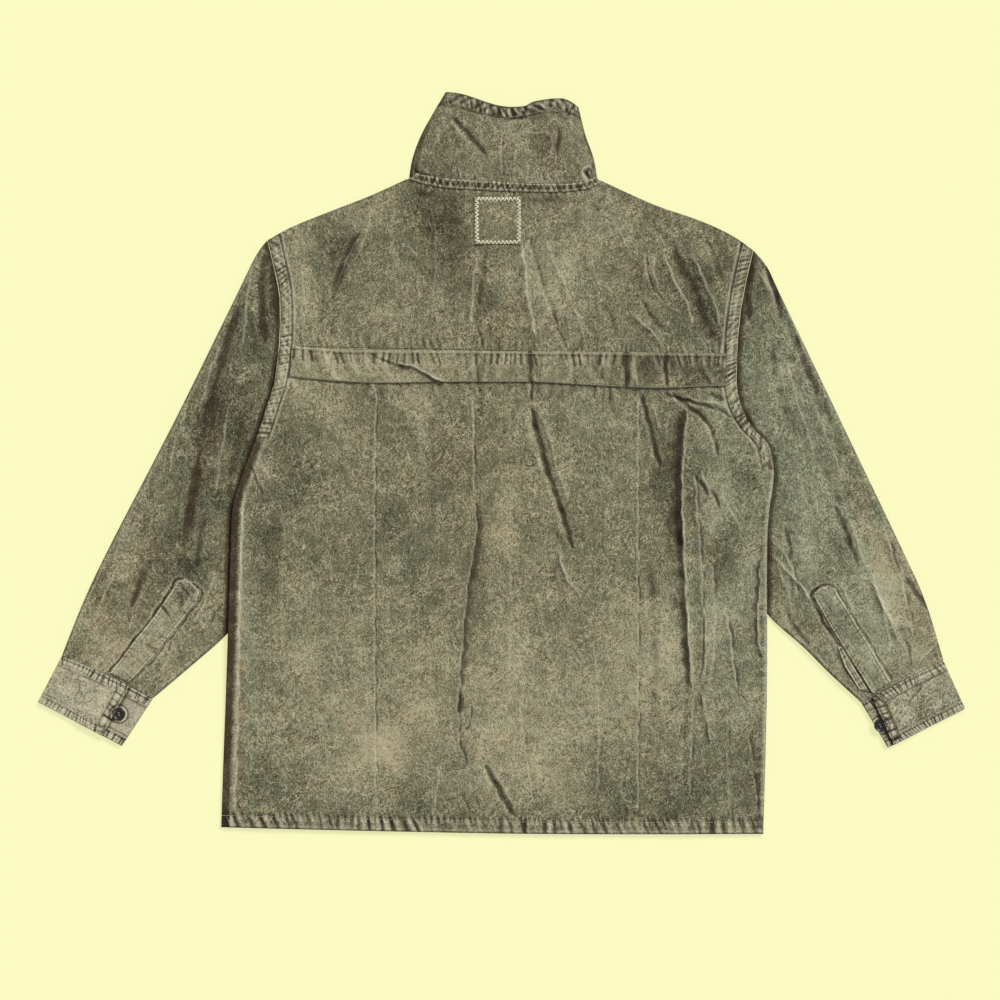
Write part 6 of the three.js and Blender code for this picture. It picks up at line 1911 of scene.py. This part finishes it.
@dataclass(frozen=True)
class GarmentDyedCanvas:
    """Cotton canvas, plain woven, dyed after sewing and washed until it mottles.

    The dye took unevenly and rubbed off the ridges, so the eye sees dull cloudy olive grey with
    pale hairline cracks and brown in the folds; the pale on the ridges and the brown in the folds
    also carry painted highlight and painted shade. It has no gloss. level lightens the whole
    cloth, and speckle is the strength of its fine mottle.
    """

    name: str
    level: float = 0.0
    speckle: float = 1.0
    dark: str = "#403d2d"
    mid: str = "#7f7b62"
    light: str = "#bdb89c"
    # Pale of rubbed wear and painted highlight, and dark brown of dirt and painted shade.
    pale: str = "#cdc9ac"
    dirt_and_shade: str = "#33271a"
    green: str = "#e6f1ea"
    brown: str = "#faeee2"
    roughness: float = 0.93
    warp_size: float = 13.0
    warp: float = 0.016  # in metres
    cloud_size: float = 46.0
    stain_size: float = 24.0
    mottle_size: float = 9.0
    web_size: float = 8.0
    scratch_size: float = 5.0
    scratch_stretch: float = 5.0
    scratch_width: float = 0.055
    grain_size: float = 1.4  # the threads are 0.6 mm apart; drawn coarser so that they show
    thread_pitch: float = 1.9  # likewise

    def build(self) -> Material:
        """Make the material."""
        material = bpy.data.materials.new(self.name)
        tree = emptied(material)
        place = add(tree, "ShaderNodeTexCoord").outputs["Object"]
        warped = self.warped(tree, place)
        cloud = noise(tree, place, self.cloud_size, 3.0, 0.5)
        stain = noise(tree, warped, self.stain_size, 3.0, 0.5)
        mottle = noise(tree, warped, self.mottle_size, 4.0)
        grain = self.threads(tree, place)
        pale_web = self.web(tree, warped, self.web_size, 0.04)
        broad_web = self.web(tree, place, self.web_size * 2.4, 0.022)
        dark_web = self.web(tree, warped, self.web_size * 1.9, 0.035)
        leaning = self.scratches(tree, place, 0.45, mottle, (0.44, 0.6))
        steep = self.scratches(tree, place, -0.2, mottle, (0.56, 0.4))
        crossing = self.scratches(tree, place, -1.0, stain, (0.44, 0.62))
        finish = {
            label: add(tree, "ShaderNodeAttribute", attribute_name=label).outputs["Fac"] for label in FINISH
        }
        level = self.sum_of(
            tree, 0.452 + self.level,
            ((finish["tone"], 0.0, 1.0), (cloud, 0.5, 0.45), (stain, 0.5, 0.5),
             (mottle, 0.5, 0.5 * self.speckle), (grain, 0.5, 1.8 * self.speckle), (pale_web, 0.0, 0.46),
             (broad_web, 0.0, 0.42), (dark_web, 0.0, -0.22), (leaning, 0.0, 0.32), (steep, 0.0, 0.32),
             (crossing, 0.0, -0.3)),
        )
        darker = ramp(tree, level, (0.0, 0.0), (0.5, 1.0))
        lighter = ramp(tree, level, (0.5, 0.0), (1.0, 1.0))
        cloth = blend(tree, darker, linear(self.dark), linear(self.mid))
        cloth = blend(tree, lighter, cloth, linear(self.light))
        hue = self.sum_of(tree, 0.47, ((finish["hue"], 0.0, 0.6), (stain, 0.5, 1.3), (mottle, 0.5, 0.35)))
        cloth = blend(tree, 1.0, cloth, blend(tree, hue, linear(self.green), linear(self.brown)), "MULTIPLY")
        # Pale rub with painted highlight, then dirt with painted shade, laid over the cloth from the
        # relief's finish.
        worn = self.sum_of(tree, 0.0, ((grain, 0.5, 0.6), (finish["worn"], 0.0, 0.9)))
        wear_and_highlight_here = calculate(tree, "MINIMUM", worn, finish["worn"])
        cloth = blend(tree, self.sum_of(tree, 0.0, ((wear_and_highlight_here, 0.0, 1.0),)), cloth, linear(self.pale))
        deep = ramp(tree, finish["grime_and_shade"], (0.42, 0.0), (0.6, 1.0), "SMOOTHSTEP")
        dirt_and_shade_share = self.sum_of(tree, 0.0, ((finish["grime_and_shade"], 0.0, 0.55), (deep, 0.0, 0.33)))
        cloth = blend(tree, dirt_and_shade_share, cloth, linear(self.dirt_and_shade))
        parts = (
            (grain, 1.1), (mottle, 0.9), (pale_web, 0.25), (dark_web, -0.3), (leaning, 0.25),
            (crossing, -0.3),
        )
        covered(
            tree, Base_Color=cloth, Normal=self.bump(tree, place, parts), Roughness=self.roughness, IOR=1.45,
            Specular_IOR_Level=0.2, Sheen_Weight=0.06, Sheen_Roughness=0.5,
        )
        return material

    def warped(self, tree: Tree, place: Socket) -> Socket:
        """Place on the cloth, pushed about so that patterns there don't look drawn."""
        inputs = {"Vector": place, "Scale": per_metre(self.warp_size), "Detail": 3.0}
        drawn = add(tree, "ShaderNodeTexNoise", inputs).outputs["Color"]
        ways = add(tree, "ShaderNodeVectorMath", {0: drawn, 1: (0.5, 0.5, 0.5)}, operation="SUBTRACT")
        push = add(tree, "ShaderNodeVectorMath", {0: ways.outputs[0], "Scale": self.warp}, operation="SCALE")
        return add(tree, "ShaderNodeVectorMath", {0: place, 1: push.outputs[0]}).outputs[0]

    def threads(self, tree: Tree, place: Socket) -> Socket:
        """Grain of the threads both ways of the cloth."""
        ways = []
        for stretch in ((1.0, 0.55, 1.0), (0.65, 1.0, 1.0)):
            along = add(tree, "ShaderNodeVectorMath", {0: place, 1: stretch}, operation="MULTIPLY")
            ways.append(noise(tree, along.outputs[0], self.grain_size, 2.0))
        return self.sum_of(tree, 0.5, ((ways[0], 0.5, 0.7), (ways[1], 0.5, 0.55)), False)

    def hairlines(
        self, tree: Tree, place: Socket, size: float, thin: float,
        mask: Socket,
    ) -> Socket:
        """Branching lines where a pattern passes its middle value.

        Args:
            tree: the material's nodes.
            place: point on the cloth.
            size: of the pattern, in millimetres.
            thin: how far from its middle value a line ends.
            mask: how fully the lines are there.

        Returns:
            1 on a line and 0 beside it.
        """
        middle = calculate(tree, "SUBTRACT", noise(tree, place, size, 2.0), 0.5)
        line = ramp(tree, calculate(tree, "ABSOLUTE", middle), (0.0, 1.0), (thin, 0.0), "SMOOTHSTEP")
        return calculate(tree, "MULTIPLY", line, mask)

    def web(
        self, tree: Tree, place: Socket, size: float, thin: float
    ) -> Socket:
        """Branching hairlines where the dyed face has cracked, patchy and about `size` apart."""
        mask = ramp(tree, noise(tree, place, size * 3.1, 2.0), (0.40, 0.0), (0.62, 1.0))
        return self.hairlines(tree, place, size, thin, mask)

    def scratches(
        self, tree: Tree, place: Socket, turn: float,
        patchy: Socket, limits: tuple[float, float],
    ) -> Socket:
        """Short fine creases that all lean one way, where another pattern is between its limits.

        Args:
            tree: the material's nodes.
            place: point on the cloth.
            turn: lean from straight down, in radians.
            patchy: pattern that decides where they are.
            limits: its values at which they start and are full.

        Returns:
            1 on a crease and 0 beside it.
        """
        settings = {"Vector": place, "Rotation": (0.0, 0.0, turn), "Scale": (1.0, self.scratch_stretch, 1.0)}
        turned = add(tree, "ShaderNodeMapping", settings, vector_type="TEXTURE").outputs[0]
        mask = ramp(tree, patchy, (limits[0], 0.0), (limits[1], 1.0))
        return self.hairlines(tree, turned, self.scratch_size, self.scratch_width, mask)

    def bump(
        self, tree: Tree, place: Socket,
        parts: Sequence[tuple[Socket, float]],
    ) -> Socket:
        """Relief of the threads, the grain of the face and its cracks."""
        bands = 20  # of a wave texture in each unit of its scale
        inputs = {
            "Vector": place, "Scale": per_metre(self.thread_pitch) / bands, "Distortion": 1.2, "Detail": 1.0,
        }
        ways = [add(tree, "ShaderNodeTexWave", inputs, bands_direction=axis) for axis in ("X", "Y")]
        weave = calculate(tree, "MULTIPLY", *(way.outputs["Fac"] for way in ways))
        weighted = [(output, 0.0, weight) for output, weight in parts]
        height = self.sum_of(tree, 0.0, (*weighted, (weave, 0.0, 0.3)), False)
        return bumped(tree, height, 0.8, 0.0013)

    def sum_of(
        self, tree: Tree, start: float,
        parts: Sequence[tuple[Socket, float, float]], clamp: bool = True,
    ) -> Socket:
        """Weighted sum of some patterns.

        Args:
            tree: the material's nodes.
            start: value that the patterns are added to.
            parts: for each pattern its output, its middle value and its weight.
            clamp: whether the sum stays from 0 to 1.

        Returns:
            The sum's output.
        """
        total: Any = start - sum(middle * weight for _, middle, weight in parts)
        for number, (output, _, weight) in enumerate(parts):
            last = clamp and number == len(parts) - 1
            total = calculate(tree, "MULTIPLY_ADD", output, weight, total, clamp=last)
        return total

@dataclass(frozen=True)
class SpunThread:
    """Spun polyester sewing thread: matt, its twist seen as a faint mottle along each stitch."""

    name: str
    colour: str
    shadow: str
    twist_pitch: float = 1.1  # the twist is 0.3 mm; drawn coarser so that it shows
    fade_size: float = 30.0

    def build(self) -> Material:
        """Make the material."""
        material = bpy.data.materials.new(self.name)
        tree = emptied(material)
        place = add(tree, "ShaderNodeTexCoord").outputs["Object"]
        twist = noise(tree, place, self.twist_pitch, 2.0, 0.5)
        fade = noise(tree, place, self.fade_size, 2.0, 0.5)
        share = ramp(tree, calculate(tree, "ADD", twist, fade), (0.7, 0.0), (1.3, 1.0))
        colour = blend(tree, share, linear(self.shadow), linear(self.colour))
        normal = bumped(tree, twist, 0.4, 0.0003)
        covered(tree, Base_Color=colour, Normal=normal, Roughness=0.8, IOR=1.45)
        return material


@dataclass(frozen=True)
class MouldedMelamine:
    """Moulded melamine plastic of a button: near black, glossy on its rim, scuffed finely."""

    name: str
    colour: str = "#141417"
    scuffed: str = "#2e2d2b"
    scuff_size: float = 1.6

    def build(self) -> Material:
        """Make the material."""
        material = bpy.data.materials.new(self.name)
        tree = emptied(material)
        place = add(tree, "ShaderNodeTexCoord").outputs["Object"]
        scuff = noise(tree, place, self.scuff_size, 5.0, 0.5)
        share = ramp(tree, scuff, (0.45, 0.0), (0.75, 1.0))
        colour = blend(tree, share, linear(self.colour), linear(self.scuffed))
        gloss = ramp(tree, scuff, (0.0, 0.2), (1.0, 0.42))
        normal = bumped(tree, scuff, 0.15, 0.0002)
        covered(tree, Base_Color=colour, Normal=normal, Roughness=gloss, IOR=1.55)
        return material


@dataclass
class Studio:
    """Pale table, soft light and the camera straight above."""

    floor_glow: str = "#dbdbaa"
    floor_paint: str = "#878766"
    sky: float = 0.42
    key: float = 3.2
    key_elevation: float = 38.0
    key_turn: float = 52.0
    key_softness: float = 22.0
    camera_height: float = 3.0
    view_width: float = 1.18
    view_middle: tuple[float, float] = (-0.0018, -0.0437)

    def floor(self) -> None:
        """Plain pale table top that glows a little, so that the cloth's shadow on it stays faint."""
        half, level = 4.0, -0.0003
        corners = [(-half, -half, level), (half, -half, level), (half, half, level), (-half, half, level)]
        mesh = bpy.data.meshes.new("table_top")
        mesh.from_pydata(corners, [], [(0, 1, 2, 3)])
        table = placed("table_top", mesh)
        material = bpy.data.materials.new("painted_table")
        tree = emptied(material)
        glow = add(tree, "ShaderNodeEmission", {"Color": linear(self.floor_glow), "Strength": 1.0})
        paint = add(tree, "ShaderNodeBsdfDiffuse", {"Color": linear(self.floor_paint)})
        both = add(tree, "ShaderNodeAddShader", {0: glow.outputs[0], 1: paint.outputs[0]})
        add(tree, "ShaderNodeOutputMaterial", {"Surface": both.outputs[0]})
        mesh.materials.append(material)

    def light(self) -> None:
        """Even sky and one soft key from the upper right."""
        world = bpy.data.worlds.new("studio")
        tree = emptied(world)
        sky = add(tree, "ShaderNodeBackground", {"Color": (1.0, 1.0, 1.0, 1.0), "Strength": self.sky})
        add(tree, "ShaderNodeOutputWorld", {"Surface": sky.outputs[0]})
        bpy.context.scene.world = world
        key = bpy.data.lights.new("key", "SUN")
        key.energy, key.angle = self.key, math.radians(self.key_softness)
        lamp = bpy.data.objects.new("key", key)
        turn, rise = math.radians(self.key_turn), math.radians(self.key_elevation)
        toward = Vector((math.cos(turn) * math.cos(rise), math.sin(turn) * math.cos(rise), math.sin(rise)))
        lamp.rotation_mode = "QUATERNION"
        lamp.rotation_quaternion = toward.to_track_quat("Z", "Y")
        bpy.context.collection.objects.link(lamp)

    def camera(self) -> None:
        """Camera straight above, framed as a square picture of the smock."""
        data = bpy.data.cameras.new("camera")
        data.sensor_width = 36.0
        middle_of_cloth = 0.005
        data.lens = data.sensor_width * (self.camera_height - middle_of_cloth) / self.view_width
        camera = bpy.data.objects.new("camera", data)
        camera.location = (*self.view_middle, self.camera_height)
        bpy.context.collection.objects.link(camera)
        bpy.context.scene.camera = camera

    def build(self) -> None:
        """Set the whole studio."""
        self.floor()
        self.light()
        self.camera()
        bpy.context.scene.view_settings.view_transform = "Standard"


def strip_rows(*rows: tuple) -> tuple[StripRow, ...]:
    """Cross sections from pairs of a left and a right point."""
    return tuple(StripRow(*row) for row in rows)


LEFT_PLACKET = strip_rows(
    ((-462, -248), (-440, -259)), ((-434, -211), (-412, -230)), ((-409, -180), (-386, -197)),
    ((-387, -147), (-360, -164)), ((-383, -141), (-356, -153)), ((-375, -138), (-366, -141)),
)
RIGHT_PLACKET = strip_rows(
    ((438, -272), (460, -258)), ((411, -230), (434, -215)), ((388, -193), (412, -179)),
    ((371, -163), (396, -153)), ((368, -156), (394, -148)), ((376, -148), (387, -146)),
)
SLIT_BINDING = strip_rows(
    ((422, -267), (434, -270)), ((405, -240), (415, -240)), ((396, -216), (401, -217)),
)


def spans_of(xy: Array) -> tuple[float, float]:
    """Width and length of a plan, along its longest row and column, in metres."""
    along_rows = np.linalg.norm(np.diff(xy, axis=1), axis=-1).sum(axis=1)
    along_columns = np.linalg.norm(np.diff(xy, axis=0), axis=-1).sum(axis=0)
    return float(along_rows.max()) * MM, float(along_columns.max()) * MM


def flat_area(xy: Array) -> float:
    """Flat area of a grid of points, in square metres."""
    first, second = xy[1:, 1:] - xy[:-1, :-1], xy[:-1, 1:] - xy[1:, :-1]
    cross = first[..., 0] * second[..., 1] - first[..., 1] * second[..., 0]
    return float(np.abs(cross).sum() / 2) * MM * MM


def dress(piece: Piece, material: Material, slot: str, *nodes: str) -> None:
    """Give a piece its finish, its body and the nodes that it stands for."""
    piece.data.materials.append(material)
    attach(piece, "root")
    if nodes:
        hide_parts(*nodes)
    LOG.info("%s: %d faces", piece.name, len(piece.data.polygons))


def declare(
    piece: Piece, xy: Array,
    layers: int = 1,
) -> None:
    """Work out the flat width, length and area of a piece cut as its plan, and keep none of them.

    Args:
        piece: the sheet; not used.
        xy: its plan, a grid of points.
        layers: how many times the plan its cut is, 2 for a tube.
    """
    width, length = spans_of(xy)
    flat_area(xy) * layers


def main() -> None:
    """Build the smock's pieces in order, from the table up."""
    Studio().build()
    shell = GarmentDyedCanvas("garment_dyed_cotton_canvas").build()
    paler = GarmentDyedCanvas("garment_dyed_canvas_strip", level=0.12, speckle=0.7).build()
    patch_cloth = GarmentDyedCanvas("garment_dyed_canvas_patch", level=0.02, speckle=0.7).build()
    cuff_cloth = GarmentDyedCanvas(
        "garment_dyed_canvas_cuff", level=0.33, speckle=0.75, light="#d3ceb6"
    ).build()
    khaki = SpunThread("khaki_polyester_thread", "#c2bb98", "#8b8566").build()
    cream = SpunThread("cream_polyester_thread", "#f1ecd2", "#cdc7a8").build()
    plastic = MouldedMelamine("moulded_melamine_plastic").build()

    body = Body()
    front, back, yoke = body.front(), body.back(), body.yoke()
    band = body.band()
    dress(front, shell, "shell_cloth", "front_panel")
    dress(back, shell, "shell_cloth", "back_panel")
    dress(yoke, shell, "shell_cloth", "back_yoke")
    dress(band, paler, "band_cloth", "back_band")
    grids, plans = body.grids, {key: grid[..., :2] for key, grid in body.grids.items()}
    ground = Ground(grids["yoke"], grids["back"], grids["band"])
    body_sewing = sewn("body_topstitching", BODY_STITCHES, ground)
    dress(body_sewing, khaki, "shell_cloth")
    declare(back, plans["back"])
    declare(yoke, plans["yoke"])
    declare(band, plans["band"])
    declare(front, np.concatenate([plans["yoke"], plans["back"][1:]]))

    collar = Collar()
    stand, tape = collar.build(), collar.tape(body)
    patch = collar.patch(body)
    dress(stand, shell, "shell_cloth", "collar")
    dress(tape, shell, "shell_cloth", "neck_tape")
    dress(patch, patch_cloth, "band_cloth", "neck_patch")
    ground = Ground(collar.grids["back"], collar.grids["tape"])
    collar_sewing = sewn("collar_topstitching", COLLAR_STITCHES, ground)
    zigzag = sewn("patch_zigzag", PATCH_STITCHES, Ground(collar.grids["patch"], body.grids["yoke"]))
    dress(collar_sewing, khaki, "shell_cloth")
    dress(zigzag, cream, "band_cloth")
    declare(stand, collar.grids["back"][..., :2], 2)
    declare(tape, collar.grids["tape"][..., :2])
    declare(patch, collar.grids["patch"][..., :2])

    for sleeve, cuff, strips in arms():
        build_arm(sleeve, cuff, strips, (shell, paler, cuff_cloth, khaki, plastic))


def arms() -> tuple[tuple[Sleeve, Cuff, tuple[Strip, ...]], ...]:
    """Sizes of the two sleeves with their cuffs and strips."""
    left = Sleeve(
        Side.LEFT,
        ((-290, 245), (-316, 192), (-386, 50), (-459, -91), (-493, -162), (-519, -227)),
        ((-270, -20), (-251, -97), (-266, -140), (-323, -201), (-367, -240), (-412, -278)),
        LEFT_CUFF_SEAM, LEFT_ARMHOLE, LEFT_SIDE, LEFT_SLEEVE_CREASES + LEFT_PLACKET_SHADING,
        LEFT_SLEEVE_BLOTCHES + LEFT_SLEEVE_SHADES, LEFT_SLEEVE_PUCKERS,
    )
    right = Sleeve(
        Side.RIGHT,
        ((314, 231), (332, 193), (400, 51), (468, -91), (500, -162), (522, -233)),
        ((300, -25), (287, -90), (296, -148), (317, -182), (356, -217), (388, -249), (425, -283)),
        RIGHT_CUFF_SEAM, RIGHT_ARMHOLE, RIGHT_SIDE, RIGHT_SLEEVE_CREASES + RIGHT_PLACKET_SHADING,
        RIGHT_SLEEVE_BLOTCHES + RIGHT_SLEEVE_SHADES, RIGHT_SLEEVE_PUCKERS,
    )
    left_cuff = Cuff(
        Side.LEFT, (-519, -227), (-547.5, -282), (-448, -334), (-412, -278), (-465, -250), 0.74, 0.77,
        LEFT_CUFF_CREASES,
    )
    right_cuff = Cuff(
        Side.RIGHT, (522, -233), (547.5, -290), (456, -336), (425, -283), (475, -256), 0.87, 0.93,
        RIGHT_CUFF_CREASES,
    )
    left_strips = (Strip("placket_canvas_left", LEFT_PLACKET, LEFT_PLACKET_CREASES),)
    right_strips = (
        Strip("placket_canvas_right", RIGHT_PLACKET, RIGHT_PLACKET_CREASES),
        Strip("slit_binding_canvas_right", SLIT_BINDING),
    )
    return (left, left_cuff, left_strips), (right, right_cuff, right_strips)


def build_arm(
    sleeve: Sleeve, cuff: Cuff, strips: Sequence[Strip], finishes: Sequence[Material]
) -> None:
    """Build one arm: sleeve, strips over its slit, cuff and button.

    Args:
        sleeve: the sleeve.
        cuff: its cuff.
        strips: the facing over the slit, and the binding where that shows.
        finishes: canvas of the shell, strips and cuff, the thread and the button's plastic.
    """
    shell, paler, cuff_cloth, khaki, plastic = finishes
    side = cuff.side.value
    tube = sleeve.build()
    dress(tube, shell, "shell_cloth", f"sleeve_{side}")
    declare(tube, sleeve.over[..., :2], layers=2)
    grids = [sleeve.over]
    for number, strip in enumerate(strips):
        piece, over = strip.build(sleeve.over, 81 + number)
        dress(piece, paler, "shell_cloth", piece.name.replace("_canvas", ""))
        declare(piece, over[..., :2])
        grids.append(over)
        if number == 0:
            left, right = strip.lines()
            paths = shift_line(left, strip.edge_rows), shift_line(right, -strip.edge_rows)
            rows = [StitchRow(path, *FINE_STITCH) for path in paths]
    wrist = cuff.build()
    dress(wrist, cuff_cloth, "cuff_cloth", f"cuff_{side}")
    sewing = sewn(f"cuff_topstitching_{side}", cuff.stitch_rows(), Ground(*cuff.face()))
    strip_sewing = sewn(f"placket_topstitching_{side}", rows, Ground(*grids))
    dress(sewing, khaki, "cuff_cloth")
    dress(strip_sewing, khaki, "shell_cloth")
    wound = sum(cuff_lengths(cuff))
    button = Button(cuff.side)
    disc, thread = button.build(), button.thread()
    dress(disc, plastic, "button", f"button_{side}")
    dress(thread, khaki, "button")


def cuff_lengths(cuff: Cuff) -> tuple[float, ...]:
    """Lengths of the wound strip's stretches along its middle: over-lap, underside and under-lap."""
    width = (math.dist(cuff.outer_top, cuff.inner_top) + math.dist(cuff.outer_bottom, cuff.inner_bottom)) / 2
    lap = (cuff.lap_top + cuff.lap_bottom) / 2
    return width * lap, width, width * (1 - lap + cuff.underlap)


if __name__ == "__main__":
    logging.basicConfig(level=logging.INFO, format="%(name)s: %(message)s")
    main()
